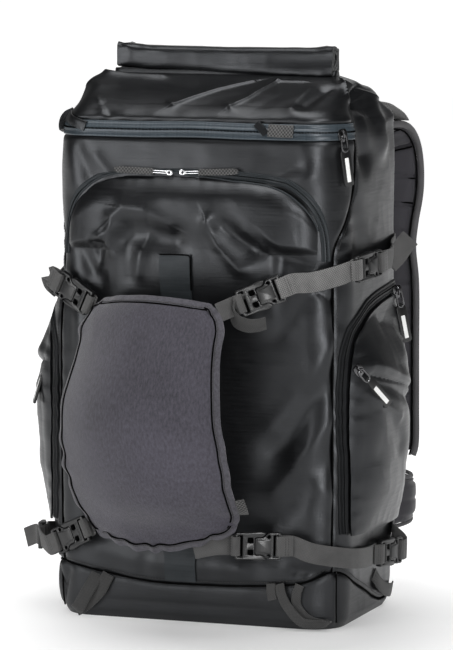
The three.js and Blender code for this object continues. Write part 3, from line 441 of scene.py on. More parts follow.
def coatedFinish(name, dark, light, roughness, weave=1.0, shine=0.44):
    def build(cloth, solid):
        streaks = cloth.stretch(26, 520, 1).noise(1.0, 3, 0.6)
        patches = solid.noise(14, 3, 0.55)
        grain = cloth.stretch(700, 1500, 1).noise(1.0, 2, 0.6)
        colour = (streaks * 0.6 + patches * 0.25 + grain * 0.15).clamp(0.32, 0.7).between(dark, light)
        rough = streaks * 0.2 + patches * 0.1 + grain * 0.06 + (roughness - 0.18)
        relief = (streaks * 0.8 + grain * 0.5).bump(0.3 * weave, 0.0005)
        return {"Base Color": colour, "Roughness": rough, "Normal": relief}
    return makeFinish(name, {"Specular IOR Level": shine, "Specular Tint": (0.92, 0.95, 1, 1)}, build)


def webbingFinish(name, dark, light, pitch=1.5):
    def build(cloth, solid):
        wide, run, _ = cloth.parts()
        turn = 2 * math.pi / (pitch * mm)
        ribs = (wide * (turn * 0.9)).sine() * (run * turn).sine()
        worn = solid.noise(60, 3, 0.6)
        fuzz = cloth.noise(1400, 2, 0.6)
        colour = (ribs * 0.34 + worn * 0.5 + fuzz * 0.35).clamp(0.12, 0.78).between(dark, light)
        return {"Base Color": colour, "Roughness": fuzz * 0.2 + 0.66,
                "Normal": (ribs * 0.5 + fuzz * 0.5).bump(0.6, 0.0004)}
    return makeFinish(name, {"Specular IOR Level": 0.35, "Sheen Weight": 0.12, "Sheen Roughness": 0.5}, build)


def stretchFinish(name, dark, light):
    def build(cloth, solid):
        wide, run, _ = cloth.parts()
        turn = 2 * math.pi / (1.1 * mm)
        threads = (wide * turn).sine() * (run * turn).sine()
        slubs = cloth.stretch(420, 260, 1).noise(1.0, 3, 0.7)
        clouds = solid.noise(9, 3, 0.6)
        colour = (threads * 0.08 + slubs * 0.65 + clouds * 0.4).clamp(0.32, 0.74).between(dark, light)
        return {"Base Color": colour, "Roughness": slubs * 0.15 + 0.72,
                "Normal": (threads * 0.4 + slubs * 0.6).bump(0.4, 0.0003)}
    return makeFinish(name, {"Specular IOR Level": 0.3, "Sheen Weight": 0.25, "Sheen Roughness": 0.45}, build)


def meshFinish(name, dark, light):
    def build(cloth, solid):
        cells = solid.node("ShaderNodeTexVoronoi", {"Vector": solid, "Scale": 420}, {"feature": "F1"})
        clouds = solid.noise(30, 3, 0.6)
        colour = (cells * 0.6 + clouds * 0.5).clamp(0.15, 0.75).between(light, dark)
        return {"Base Color": colour, "Roughness": clouds * 0.15 + 0.75,
                "Normal": (1 - cells).bump(0.5, 0.0006)}
    return makeFinish(name, {"Specular IOR Level": 0.25, "Sheen Weight": 0.2, "Sheen Roughness": 0.5}, build)


def mouldedFinish(name, dark, light, roughness, metal=0.0, shine=0.5):
    def build(cloth, solid):
        flow = solid.noise(55, 4, 0.6)
        grain = solid.noise(900, 2, 0.6)
        colour = (flow * 0.7 + grain * 0.3).clamp(0.3, 0.75).between(dark, light)
        return {"Base Color": colour, "Roughness": flow * 0.12 + grain * 0.06 + (roughness - 0.08),
                "Normal": (grain * 0.5 + flow * 0.3).bump(0.08, 0.0003)}
    return makeFinish(name, {"Metallic": metal, "Specular IOR Level": shine}, build)


def floorFinish(name, middle, near, wide, far):  # painted light: the floor glows, dimmer round the middle in front of the bag, which paints the bag's shade and reflection on the floor
    def build(cloth, solid):
        off = solid.node("ShaderNodeVectorMath", {0: solid, 1: middle}, {"operation": "SUBTRACT"})
        away = off.node("ShaderNodeVectorMath", {0: off}, {"operation": "LENGTH"}, 1)
        mottle = solid.noise(9, 3, 0.5)
        # painted glow: dim near the middle as the bag's painted shade and reflection, bright farther out
        paintedGlow = away.clamp(0.1, 0.36) * (wide - near) + away.clamp(0.36, 1.6) * (far - wide) + near
        return {"Base Color": mottle.between((0.5, 0.5, 0.5), (0.54, 0.54, 0.54)),
                "Emission Color": paintedGlow.between((0, 0, 0), (1, 1, 1)), "Roughness": mottle * 0.1 + 0.45}
    return makeFinish(name, {"Emission Strength": 1.0, "Specular IOR Level": 0.3}, build)


finish = {
    "coated": coatedFinish("coatedCloth", (0.002, 0.0021, 0.0024), (0.0056, 0.0058, 0.0063), 0.36),
    "base": coatedFinish("baseCloth", (0.003, 0.0031, 0.0034), (0.007, 0.0072, 0.0077), 0.43, 1.3, 0.4),
    "zip": coatedFinish("zipTape", (0.017, 0.023, 0.028), (0.042, 0.054, 0.064), 0.34, 0.5, 0.4),
    "webbing": webbingFinish("webbing", (0.044, 0.0437, 0.0433), (0.158, 0.156, 0.154), 2.4),
    "strip": coatedFinish("stripCloth", (0.009, 0.011, 0.012), (0.021, 0.0245, 0.027), 0.42, 0.8, 0.24),
    # dark tape of the side zips; the folded part of the top zip's tab also takes it, as painted shade
    "darkTape": coatedFinish("darkTape", (0.0025, 0.0027, 0.003), (0.007, 0.0074, 0.008), 0.5, 0.5, 0.16),
    "hem": stretchFinish("hemCloth", (0.02, 0.019, 0.0235), (0.08, 0.0765, 0.09)),
    "pad": stretchFinish("padCloth", (0.015, 0.0145, 0.0175), (0.036, 0.0345, 0.041)),
    # painted shade: a darker copy of the webbing, for straps lower down or facing away from the light
    "shadedWeb": webbingFinish("shadedWebbing", (0.026, 0.0257, 0.0257), (0.084, 0.083, 0.0825)),
    "loopWeb": webbingFinish("loopWebbing", (0.015, 0.015, 0.015), (0.046, 0.0455, 0.045), 2.0),
    "stretch": stretchFinish("stretchCloth", (0.013, 0.012, 0.0163), (0.063, 0.0587, 0.076)),
    "mesh": meshFinish("spacerMesh", (0.006, 0.0055, 0.0075), (0.028, 0.026, 0.034)),
    "edge": webbingFinish("boundEdge", (0.03, 0.029, 0.031), (0.08, 0.078, 0.082), 2.2),
    "plastic": mouldedFinish("mouldedPlastic", (0.002, 0.0021, 0.0023), (0.006, 0.0062, 0.0066), 0.32),
    "metal": mouldedFinish("sliderMetal", (0.42, 0.42, 0.43), (0.75, 0.75, 0.76), 0.26, 1.0),
    "darkMetal": mouldedFinish("darkMetal", (0.05, 0.05, 0.052), (0.16, 0.16, 0.165), 0.2, 1.0),
    # painted shade: black without sheen, for the shade in seams, grooves and channels and behind buckle
    # openings; the zip teeth take it too
    "seam": mouldedFinish("paintedShadeBlack", (0.001, 0.001, 0.001), (0.003, 0.003, 0.003), 0.85, shine=0.03),
    "thread": mouldedFinish("thread", (0.012, 0.012, 0.012), (0.035, 0.034, 0.033), 0.6),
    "braid": webbingFinish("braidedCord", (0.003, 0.003, 0.003), (0.09, 0.089, 0.088), 3.4),
    "pale": mouldedFinish("paleStripe", (0.62, 0.62, 0.61), (0.82, 0.82, 0.81), 0.5),
    # painted light: a glowing floor, dim in front of the bag and bright far away
    "floor": floorFinish("paleFloor", (0.09, -0.12, 0), 0.26, 0.76, 0.98),
}


def makeFloor():
    half = studio["floorHalf"]
    mesh = bpy.data.meshes.new("floor")
    corners = [(-half, -half, 0), (half, -half, 0), (half, half, 0), (-half, half, 0)]
    mesh.from_pydata(corners, [], [(0, 1, 2, 3)])
    mesh.materials.append(finish["floor"])
    floor = link("floor", mesh)


makeFloor()
print("finishes ready")


# Geometry Nodes that set small parts along a path
def pathTree(name, settings, build):
    tree = bpy.data.node_groups.new(name, "GeometryNodeTree")
    for way in ("INPUT", "OUTPUT"):
        tree.interface.new_socket("Geometry", in_out=way, socket_type="NodeSocketGeometry")
    for key in settings:
        kind = "NodeSocketMaterial" if key == "Material" else "NodeSocketFloat"
        tree.interface.new_socket(key, in_out="INPUT", socket_type=kind)
    start, end = tree.nodes.new("NodeGroupInput"), tree.nodes.new("NodeGroupOutput")
    given = {key: Wire(tree, start.outputs[key]) for key in ("Geometry", *settings)}
    put = given["Geometry"].node
    smooth = put("GeometryNodeSetShadeSmooth", {"Geometry": build(put, given)})
    finished = put("GeometryNodeSetMaterial", {"Geometry": smooth, "Material": given["Material"]})
    tree.links.new(finished.socket, end.inputs["Geometry"])
    return tree


def buildRow(put, given):  # small rods or bars at an even pitch, lying along or across the path
    curve = put("GeometryNodeMeshToCurve", {"Mesh": given["Geometry"]})
    even = put("GeometryNodeResampleCurve", {"Curve": curve, "Length": given["Pitch"]}, {"mode": "LENGTH"})
    rod = put("GeometryNodeMeshCylinder", {"Vertices": 6, "Radius": 0.5, "Depth": 1.0})
    along = put("GeometryNodeInputNamedAttribute", {"Name": "rodWay"}, {"data_type": "FLOAT_VECTOR"})
    up = put("GeometryNodeInputNamedAttribute", {"Name": "rodUp"}, {"data_type": "FLOAT_VECTOR"})
    turned = put("FunctionNodeAlignRotationToVector", {"Vector": along}, {"axis": "Z"})
    faced = put("FunctionNodeAlignRotationToVector", {"Rotation": turned, "Vector": up},
                {"axis": "X", "pivot_axis": "Z"})
    size = put("ShaderNodeCombineXYZ", {"X": given["High"], "Y": given["Wide"], "Z": given["Length"]})
    rods = put("GeometryNodeInstanceOnPoints",
               {"Points": even, "Instance": rod, "Rotation": faced, "Scale": size})
    return put("GeometryNodeRealizeInstances", {"Geometry": rods})


def buildPiping(put, given):  # a round cord along the path
    curve = put("GeometryNodeMeshToCurve", {"Mesh": given["Geometry"]})
    even = put("GeometryNodeResampleCurve", {"Curve": curve, "Length": given["Pitch"]}, {"mode": "LENGTH"})
    ring = put("GeometryNodeCurvePrimitiveCircle", {"Resolution": 8, "Radius": given["Radius"]})
    tube = put("GeometryNodeCurveToMesh", {"Curve": even, "Profile Curve": ring, "Fill Caps": True})
    return put("GeometryNodeRealizeInstances", {"Geometry": tube})


rowTree = pathTree("rowAlongPath", ("Pitch", "Length", "Wide", "High", "Material"), buildRow)
pipingTree = pathTree("pipingAlongPath", ("Pitch", "Radius", "Material"), buildPiping)


def followPaths(name, tree, sizes, paths, look, slotName):
    # paths: points with, for each point, the way a rod lies and the way it faces
    mesh = bpy.data.meshes.new(name)
    points = np.concatenate([p[0] for p in paths]) * mm
    edges, start = [], 0
    for p in paths:
        edges += [(start + i, start + i + 1) for i in range(len(p[0]) - 1)]
        start += len(p[0])
    mesh.from_pydata(points.tolist(), edges, [])
    for key, column in (("rodWay", 1), ("rodUp", 2)):
        if len(paths[0]) > column:
            values = np.concatenate([np.broadcast_to(p[column], p[0].shape) for p in paths])
            ways = mesh.attributes.new(key, "FLOAT_VECTOR", "POINT").data
            ways.foreach_set("vector", values.astype(np.float32).ravel())
    holder = link(name, mesh)
    modifier = holder.modifiers.new("path", "NODES")
    modifier.node_group = tree
    sockets = {s.name: s.identifier for s in tree.interface.items_tree if s.in_out == "INPUT"}
    for key, value in sizes.items():
        modifier[sockets[key]] = value * mm
    modifier[sockets["Material"]] = finish[look]
    made = meshOf(holder)
    bpy.data.objects.remove(holder)
    bpy.data.meshes.remove(mesh)
    made.name = name
    return declare(link(name, made), slotName)


# the bag's wall: across is the length along a section from the middle of the front
wall = {"sections": np.array([  # z, half width, front, back, front radius, back radius
            (0, 147, -92, 88, 32, 26), (9, 152, -97, 92, 35, 28), (45, 154, -98, 94, 36, 30),
            (150, 155, -98, 95, 36, 30), (300, 155, -98, 95, 36, 30), (400, 155, -97, 95, 40, 30),
            (470, 156, -96, 95, 44, 32), (504, 153, -92, 93, 46, 34), (518, 144, -80, 84, 45, 36),
            (530, 140, -58, 64, 38, 36), (540, 134, -32, 36, 20, 22), (547, 119, -10, 10, 6, 6)], float),
        "thick": 2.2, "zipLow": 488, "zipHigh": 504, "neck": 547, "step": 2.6, "gap": 0.3, "topGap": 0.1,
        "baseMean": 45, "frontSize": (290, 440), "sideSize": (165, 458), "hoodBlend": (466, 503),
        "frontShift": (372, 440, 34),  # the front seam goes back by this between these heights
        "fill": {"low": 20, "tall": 500, "front": (7, 150), "side": (5, 238, 80)},  # swell, place and reach
        # base seam by place along the wall
        "baseSeam": np.array([
            (-380, 42), (-300, 40), (-200, 47), (-150, 54), (-95, 46.5), (-46, 40), (8, 39.5), (72, 42),
            (114, 47), (150, 58), (187, 43), (224, 29), (258, 16), (284, 9), (312, 14), (345, 32),
            (380, 40)], float)}
# folds: from and to (across, height), width, rise, sharpness of the ridge or valley, and the width on the
# right of the way it runs where that differs
wallFolds = [
    (205, 470, 172, 532, 14, -8, 2), (255, 480, 215, 534, 13, 6, 2), (-205, 478, -172, 532, 14, -7, 2),
    (-128, 508, -120, 535, 12, 4, 2), (190, 380, 160, 470, 16, -4, 2), (-203, 100, -203, 292, 44, 12, 2),
    (-176, 345, -176, 380, 24, -5.5, 2), (-200, 410, -200, 490, 60, -2.5, 2),
    (70, 100, 120, 230, 26, -5, 2),
]
frontFolds = [
    (-122, 474, -111, 448, 7, -2, 1.6), (-104, 468, -90, 452, 6, 1.6, 1.4),
    (-134, 470, -128, 440, 9, 1.4, 1.6), (78, 449, 108, 464, 10, -2.4, 1.7),
    (88, 446, 122, 452, 9, 1.6, 1.6), (20, 470, 60, 462, 16, 1, 2), (-82, 385, -78, 409, 7, 4, 1.6, 13),
    (-78, 409, -66, 419, 8, 4.2, 1.6, 13), (-66, 419, -44, 416, 9, 4.4, 1.6, 13),
    (-44, 416, -17, 403, 8, 3.4, 1.6, 11), (-55, 395, -14, 391, 15, -7.5, 2),
    (-102, 383, -90, 382.5, 3.5, -3.6, 1.5), (-93, 389, -79, 371, 5, 2.4, 1.4),
    (23, 406, 34, 384, 10, 4.4, 1.7, 6.5), (34, 384, 56, 360, 10, 4.4, 1.7, 6.5),
    (38, 402, 65, 384, 12, -7, 1.9), (62, 398, 84, 380, 8, 2.6, 1.5), (-96, 357, -104, 377, 5, 2.2, 1.4),
    (-93, 357, -86, 381, 5, 2.8, 1.3), (-99, 372, -96, 360, 5, -2.8, 1.6),
    (-118, 372, -106, 352, 8, -2.6, 1.7), (-53, 352, -48, 376, 6, 2.4, 1.5),
    (-48, 376, -41, 390, 6, 1.8, 1.6), (-66, 384, -62, 350, 8, -2.2, 1.8), (80, 376, 122, 366, 6, -2, 1.7),
    (136, 360, 131, 340, 4, -2, 1.4), (131, 340, 149, 326, 4, -2.4, 1.4),
    (132, 348, 98, 300, 13, -1.8, 1.8), (150, 291, 88, 204, 12, 2.6, 1.6),
    (150, 262, 88, 180, 12, -2.4, 1.8), (150, 217, 88, 140, 13, 2.6, 1.6),
    (150, 131, 112, 160, 11, 1.6, 1.7), (150, 185, 92, 112, 14, -2.2, 1.9), (125, 72, 145, 66, 6, 2.5, 1.4),
    (110, 60, 140, 58, 6, -2.5, 1.6), (-135, 330, -128, 240, 9, -3, 1.8),
    (-120, 300, -135, 200, 12, 2.5, 1.8), (-100, 70, -60, 62, 10, 2, 1.8), (-40, 60, 50, 58, 9, 2, 1.8),
    (20, 78, 90, 72, 10, -2, 1.9),
]
hoodFolds = [
    (-28, 519, 7, 532.5, 8, 2.3, 1.1, 1.7), (7, 532.5, 40, 541, 8, 2.3, 1.1, 1.7),
    (-33, 521, -29, 519.5, 3, 1.2, 1.3), (33, 518, 46, 526, 8, 2.3, 1.1, 1.7),
    (46, 526, 65, 541.5, 8, 2.3, 1.1, 1.7), (28, 521, 36, 516.5, 4, 1.3, 1.3),
    (66, 541.5, 92, 541.5, 5, 2, 1.1, 2), (-20, 514, 40, 530, 12, -0.8, 1.8),
    (56, 514, 78, 530, 12, -0.8, 1.7), (108, 524, 118, 536, 11, -5, 1.9), (97, 519, 104, 537, 6, 1.8, 1.3),
    (104, 514, 140, 513, 9, 1.6, 1.8), (131, 543, 150, 530, 7, 3, 1.0, 1.8),
    (150, 530, 178, 517, 7, 3, 1.0, 1.8), (178, 517, 186, 503, 7, 2.4, 1.0, 1.8),
    (166, 532, 189, 521, 7, -3.5, 1.5), (137, 540, 201, 530, 2.4, 2.6, 1.0, 7),
    (201, 530, 292, 506, 3, 2.8, 1.0, 8), (196, 519, 236, 498, 9, -3.5, 1.5),
    (236, 500, 290, 503, 8, 2, 1.3), (205, 508, 222, 470, 6, 2.2, 1.2, 11),
    (-112, 524, -100, 513, 4, 1.6, 1.3), (-104, 518, -92, 510, 5, -1.4, 1.6),
    (-126, 544, -62, 544.5, 6, 3, 1.4), (-60, 541, -20, 536, 16, -2, 2), (-160, 532, -128, 543, 22, 4, 2),
    (-138, 536, -190, 512, 5, 2, 1.1, 9), (-200, 532, -290, 508, 7, 2.4, 1.2),
    (-300, 530, -380, 512, 12, 2.5, 1.7), (310, 530, 390, 512, 12, -2.5, 1.7),
    (-340, 538, -352, 515, 7, 2.2, 1.4), (330, 540, 350, 512, 7, 2.2, 1.4),
]


def meridian(z):  # height, stretched over the shallow hood to the length along its slope
    knots = np.linspace(wall["zipHigh"], wall["neck"], 60)
    front = readTable(wall["sections"], knots)[:, 1]
    length = lengthAlong(np.column_stack([knots, front]))
    return np.where(z > knots[0], knots[0] + np.interp(z, knots, length), z)


def foldLift(folds, across, z):
    lift, chain, chainEnd = np.zeros(np.shape(across)), 0, None
    place = np.stack([across, meridian(z)], -1)
    for fromAcross, fromZ, toAcross, toZ, width, rise, sharp, *rightWidth in folds:
        start = np.array([fromAcross, meridian(fromZ)])
        run = np.array([toAcross, meridian(toZ)]) - start
        off = place - start
        t = np.clip(off @ run / (run @ run), 0, 1)
        away = np.linalg.norm(off - t[..., None] * run, axis=-1)
        if rightWidth:
            width = np.where(run[0] * off[..., 1] - run[1] * off[..., 0] < 0, rightWidth[0], width)
        one = rise * np.exp(-(away / width) ** sharp)
        if (fromAcross, fromZ) == chainEnd:  # runs on from the fold before
            chain = np.where(np.abs(one) > np.abs(chain), one, chain)
        else:
            lift, chain = lift + chain, one
        chainEnd = (toAcross, toZ)
    return lift + chain


def stretches(z):  # lengths of front, front bend, side, back bend and back along half a section
    half, front, back, frontRadius, backRadius = np.moveaxis(readTable(wall["sections"], z), -1, 0)
    return (half - frontRadius, frontRadius * np.pi / 2, back - front - frontRadius - backRadius,
            backRadius * np.pi / 2, half - backRadius)


def plainWall(across, z):
    _, front, _, frontRadius, backRadius = np.moveaxis(readTable(wall["sections"], z), -1, 0)
    flat, bend, side, backBend, _ = stretches(z)
    s, hand = np.abs(across), np.where(across < 0, -1, 1)
    frontTurn = np.clip((s - flat) / frontRadius, 0, np.pi / 2)
    backTurn = np.clip((s - flat - bend - side) / backRadius, 0, np.pi / 2)
    x = np.minimum(s, flat) + frontRadius * np.sin(frontTurn)
    x = x - backRadius * (1 - np.cos(backTurn)) - np.maximum(s - flat - bend - side - backBend, 0)
    y = front + frontRadius * (1 - np.cos(frontTurn)) + np.clip(s - flat - bend, 0, side)
    y = y + backRadius * np.sin(backTurn)
    turn = frontTurn + backTurn
    return np.stack([hand * x, y, z], -1), np.stack([hand * np.sin(turn), -np.cos(turn), 0 * x], -1)


def swell(across, z):  # the filled bag swells between its corners
    fill = wall["fill"]
    (front, frontHalf), (side, sideMiddle, sideHalf) = fill["front"], fill["side"]
    level = np.sin(np.pi * np.clip((z - fill["low"]) / fill["tall"], 0, 1)) ** 0.5
    ahead = np.maximum(0, 1 - (across / frontHalf) ** 2)
    aside = np.maximum(0, 1 - ((np.abs(across) - sideMiddle) / sideHalf) ** 2)
    return level * (front * ahead + side * aside)


def wallPoint(across, z, lift=0.0):
    across, z = np.broadcast_arrays(np.asarray(across, float), np.asarray(z, float))
    point, out = plainWall(across, z)
    return point + out * (swell(across, z) + foldLift(wallFolds, across, z) + lift)[..., None]


def frontSeam(z):
    flat, bend = stretches(z)[:2]
    low, high, shift = wall["frontShift"]
    return flat + bend / 2 + ease(z, low, high) * shift


def backSeam(z):
    flat, bend, side, backBend, _ = stretches(z)
    return flat + bend + side + backBend * 0.6


def baseSeam(across):
    return readTable(wall["baseSeam"], across)[..., 0]


def slack(across, z, seed):  # soft waves and fine creases of the coated cloth
    wide = noise(across * 0.83 + z * 0.56, z * 0.83 - across * 0.56, 46, seed) * 0.8
    wide = wide + noise(across * 0.6 - z * 0.8, z * 0.6 + across * 0.8, 21, seed + 1) * 0.3
    return wide + crumple(across + z * 0.3, z, 17, seed + 2) * 0.18


def seamDip(distance, depth=2.4, width=2.6):  # cloth rolling in at a sewn edge
    return -depth * np.exp(-(np.maximum(distance, 0) / width) ** 1.4)


def puckers(along, distance, height, pitch, reach, seed):  # little gathers standing off a seam
    wave = np.sin(2 * np.pi * along / pitch + 5 * noise(along, 0 * along, pitch * 2.3, seed))
    return height * wave * np.exp(-distance / reach) * (1 - np.exp(-distance / 2))


def evenSteps(low, high, step):
    return np.linspace(low, high, int(round((high - low) / step)) + 1)


pocket = {"half": 134, "flat": 55, "top": 449, "foot": 369, "seam": 375, "depth": 15, "rim": 4, "thick": 2,
          "zipWidth": 9, "seat": 1.0, "square": 2.5, "flowFrom": 62, "flowTo": 100, "keeps": 0.62,
          "settles": 285, "lap": -4.5, "columns": 210, "rows": 70, "piping": {"Pitch": 3, "Radius": 1.1}}


def pocketFoot(across):  # share of the pocket's depth that goes on below its seam
    return pocket["keeps"] * (1 - ease(np.abs(across), pocket["flowFrom"], pocket["flowTo"]))


def panelLift(across, z):
    lift = foldLift(frontFolds, across, z) + slack(across, z, 11) * 0.55
    edge = frontSeam(z) - np.abs(across)
    lift += puckers(z, edge, 0.4, 23, 9, 5)
    return lift + puckers(across, z - baseSeam(across), 0.6, 27, 10, 6)


def frontLift(across, z):
    foot = pocketFoot(across)
    over = foot * pocket["depth"] + (pocket["seat"] + pocket["thick"]) * ease(foot, 0, 0.2)
    seam = pocket["seam"]
    fade = ease(z, pocket["settles"], seam - 2) * (1 - ease(z, seam + 6, seam + 12))
    return panelLift(across, z) + over * fade


def makeFront():
    wide, tall = wall["frontSize"]
    share, level = evenSteps(-1, 1, 2 * wall["step"] / wide), evenSteps(0, 1, wall["step"] / tall)
    share, level = np.meshgrid(share, level)
    across = share * (frontSeam(blend(wall["baseMean"], wall["zipLow"], level)) - wall["gap"])
    z = blend(baseSeam(across) + wall["gap"], wall["zipLow"] - 2 * wall["topGap"], level)
    edge = np.minimum(frontSeam(z) - np.abs(across), z - baseSeam(across))
    edge = np.minimum(edge, (wall["zipLow"] - z) * 1.4)
    grid = wallPoint(across, z, frontLift(across, z) + seamDip(edge))
    form = sheetForm(grid, wall["thick"], np.stack([across, z], -1))
    makePiece("frontPanel", form, "coated", "coated_cloth")


def sideLift(across, z, hand):
    lift = slack(across, z, 31 if hand > 0 else 37)
    lift += puckers(z, np.abs(across) - frontSeam(z), 0.8, 26, 10, 7)
    return lift + puckers(z, backSeam(z) - np.abs(across), 0.6, 24, 9, 8)


def hoodLift(across, z):
    return foldLift(hoodFolds, across, z) + slack(across, meridian(z), 51) * 0.28


def makeSides():
    for side, hand in hands:
        share, level = (evenSteps(0, 1, wall["step"] / size) for size in wall["sideSize"])
        share, level = np.meshgrid(share[::hand], level)
        guess = blend(wall["baseMean"], wall["zipHigh"], level)
        across = hand * blend(frontSeam(guess) + wall["gap"], backSeam(guess) - wall["gap"], share)
        z = blend(baseSeam(across) + wall["gap"], wall["zipHigh"] - wall["topGap"], level)
        edge = np.minimum(np.abs(across) - frontSeam(z), backSeam(z) - np.abs(across))
        edge = np.minimum(edge, z - baseSeam(across))
        lift = blend(sideLift(across, z, hand), hoodLift(across, z), ease(z, *wall["hoodBlend"]))
        lift += seamDip(edge)
        form = sheetForm(wallPoint(across, z, lift), wall["thick"], np.stack([across, z], -1))
        makePiece("sidePanel" + side, form, "coated", "coated_cloth")


around = {"counts": (96, 34, 36, 14, 16), "rows": 100}


def aroundAcross(z):  # places round a whole section, as many on each stretch at every height
    half, start = [], np.zeros(np.shape(z))
    for count, length in zip(around["counts"], stretches(z)):
        half += [start + length * k / count for k in range(count)]
        start = start + length
    whole = [-start] + [-h for h in half[:0:-1]] + half
    return np.stack(whole, -1)


def makeHood():
    knots = np.linspace(wall["zipHigh"] - 0.05, wall["neck"], 400)
    slope = meridian(knots)
    z = np.interp(np.linspace(slope[0], slope[-1], around["rows"]), slope, knots)
    across = aroundAcross(z)
    z = np.broadcast_to(z[:, None], across.shape)
    plain = wallPoint(across, z)
    sewn = 1 - ease(np.abs(across) - frontSeam(z), -5, 3)  # only the front is sewn to the zip
    lift = hoodLift(across, z) * (1 - 0.8 * ease(z, 544.5, 547))
    fromZip = meridian(z) - wall["zipHigh"]
    lift += sewn * (seamDip(fromZip) + puckers(across, fromZip, 0.3, 31, 12, 9))
    level = plainWall(across, z)[1]
    turned = ease(z, wall["zipHigh"], wall["zipHigh"] + 10)[..., None]
    way = unit(blend(level, gridNormals(plain, True), turned))
    grid = plain + way * lift[..., None]
    neck = [grid[-1:] * (1, 1 - 0.1 * k, 1) + (0, 0, 1.4 * k) for k in (1, 2, 3)]  # goes up into the roll
    grid = np.concatenate([grid, *neck])
    across, z = (np.concatenate([a, np.repeat(a[-1:], 3, 0)]) for a in (across, z))
    form = sheetForm(grid, wall["thick"], np.stack([across, meridian(z)], -1), wrap=True)
    makePiece("hoodPanel", form, "coated", "coated_cloth", "hood")


base = {"level": 40, "corner": 151, "dip": (1.6, 2.2),
        "folds": [(-150, 50, -168, 8, 7, 3.5, 1.4), (-138, 44, -158, 6, 6, -3, 1.5),
                  (60, 34, 130, 14, 18, 1.5, 2), (150, 52, 148, 10, 4, 1.6, 1.3)]}


def makeBase():
    share = np.concatenate([[0, 0.02, 0.05], np.linspace(0.09, 1, 22)])
    across = aroundAcross(base["level"] * np.ones(len(share)))
    z = share[:, None] * (baseSeam(across) - wall["gap"])
    lift = foldLift(base["folds"], across, z) + slack(across, z, 61) * 0.6 + seamDip(baseSeam(across) - z)
    for hand in (1, -1):
        lift += seamDip(np.abs(across - base["corner"] * hand), *base["dip"])
    grid = wallPoint(across, z, lift * ease(z, 1, 9))
    form = sheetForm(grid, wall["thick"], np.stack([across, z], -1), wrap=True, floor=True)
    makePiece("basePanel", form, "base", "base_cloth")


seams = {"step": 4, "aside": 4.5, "above": 4, "proud": 0.1, "sideSpan": (150, 318), "frontHalf": 140,
         "cord": {"Pitch": 4, "Radius": 0.9},
         "stitch": {"Pitch": 3.2, "Length": 2.2, "Wide": 0.5, "High": 0.4}}


def makeSeams():
    shadeCords, threads = [], []

    def sew(across, z, sunk, offset, lift):  # a black cord down in the seam, painted shade in its groove, and thread on the cloth beside it
        shadeCords.append((wallPoint(across, z, sunk),))
        line = wallPoint(across + offset[0], z + offset[1], lift + seams["proud"])
        threads.append((line, unit(np.gradient(line, axis=0)), plainWall(across, z)[1]))

    step, above, start = seams["step"], seams["above"], seams["sideSpan"][0]
    for hand in (-1, 1):
        z = evenSteps(baseSeam(start * hand), wall["zipHigh"], step)
        for seam, sunk, aside in ((frontSeam, -1.3, seams["aside"]), (backSeam, -1.0, -seams["aside"])):
            across = hand * seam(z)
            sew(across, z, sunk, (aside * hand, 0), sideLift(across + aside * hand, z, hand))
        across = evenSteps(*seams["sideSpan"], step)[::hand] * hand
        z = baseSeam(across)
        sew(across, z, -1.4, (0, above), sideLift(across, z + above, hand))
        # black cords up the base's corners: painted shade in the folds there
        corner = base["corner"] * hand
        shadeCords.append((wallPoint(corner, evenSteps(7, baseSeam(corner) - 2, step), seams["proud"]),))
    across = evenSteps(-seams["frontHalf"], seams["frontHalf"], step)
    z = baseSeam(across)
    sew(across, z, -1.4, (0, above), panelLift(across, z + above))
    followPaths("seamShadeCords", pipingTree, seams["cord"], shadeCords, "seam", "webbing")
    followPaths("seamStitches", rowTree, seams["stitch"], threads, "thread", "webbing")


makeFront()
makeSides()
makeHood()
makeBase()
makeSeams()
print("body panels made")


# padded back: two quilted pillars, an air channel between them and a break above the hips
backPad = {"thick": 13, "channelHalf": 24, "hipBreak": 165, "breakHalf": 12, "quilt": 27, "thread": 2.6,
           "ends": (48, 66, 455, 485), "rows": 140, "columns": 100, "fill": 0.7}


def middleOfBack(z):
    return sum(stretches(z))


def padRise(across, z):
    fromMiddle = np.abs(np.abs(across) - middleOfBack(z))
    rim = ease(np.abs(across) - backSeam(z) - 14, -12, 10)
    channel = ease(fromMiddle, backPad["channelHalf"] - 10, backPad["channelHalf"] + 8)
    gap = np.minimum(1, np.abs(z - backPad["hipBreak"]) / backPad["breakHalf"])
    ends = ease(z, *backPad["ends"][:2]) * (1 - ease(z, *backPad["ends"][2:]))
    fromLine = np.mod(z - backPad["hipBreak"], backPad["quilt"]) - backPad["quilt"] / 2
    quilt = 1 - 0.34 * channel * np.exp(-(fromLine / backPad["thread"]) ** 2)
    return backPad["thick"] * rim * ends * (0.25 + 0.75 * channel) * (0.35 + 0.65 * gap) * quilt


def makeBack():
    share, level = np.meshgrid(np.linspace(0, 1, backPad["columns"]), np.linspace(0, 1, backPad["rows"]))
    guess = blend(wall["baseMean"], wall["zipHigh"], level)
    start, whole = backSeam(guess) + wall["gap"], 2 * middleOfBack(guess)
    along = blend(start, whole - start, share)
    across = np.where(along <= whole / 2, along, along - whole)
    z = blend(baseSeam(across) + wall["gap"], wall["zipHigh"] - wall["topGap"], level)
    edge = np.minimum(np.abs(across) - backSeam(z), z - baseSeam(across))
    lift = padRise(across, z) + slack(across, z, 71) * 0.35 + seamDip(edge, 1.8)
    form = sheetForm(wallPoint(across, z, lift), wall["thick"], np.stack([along, z], -1))
    piece = makePiece("backPanel", form, "mesh", "padding")


makeBack()

# roll: the mouth wound up in a flat spiral
roll = {"length": 232, "cloth": 3.4, "gap": 0.8, "tall": 31, "deep": 27, "turns": 2.25, "sides": 44,
        "square": 3.2, "sag": 1.2, "nest": 1.2, "core": (6.4, 2.2), "seat": 0.3, "steps": 90, "middleX": 0.5}


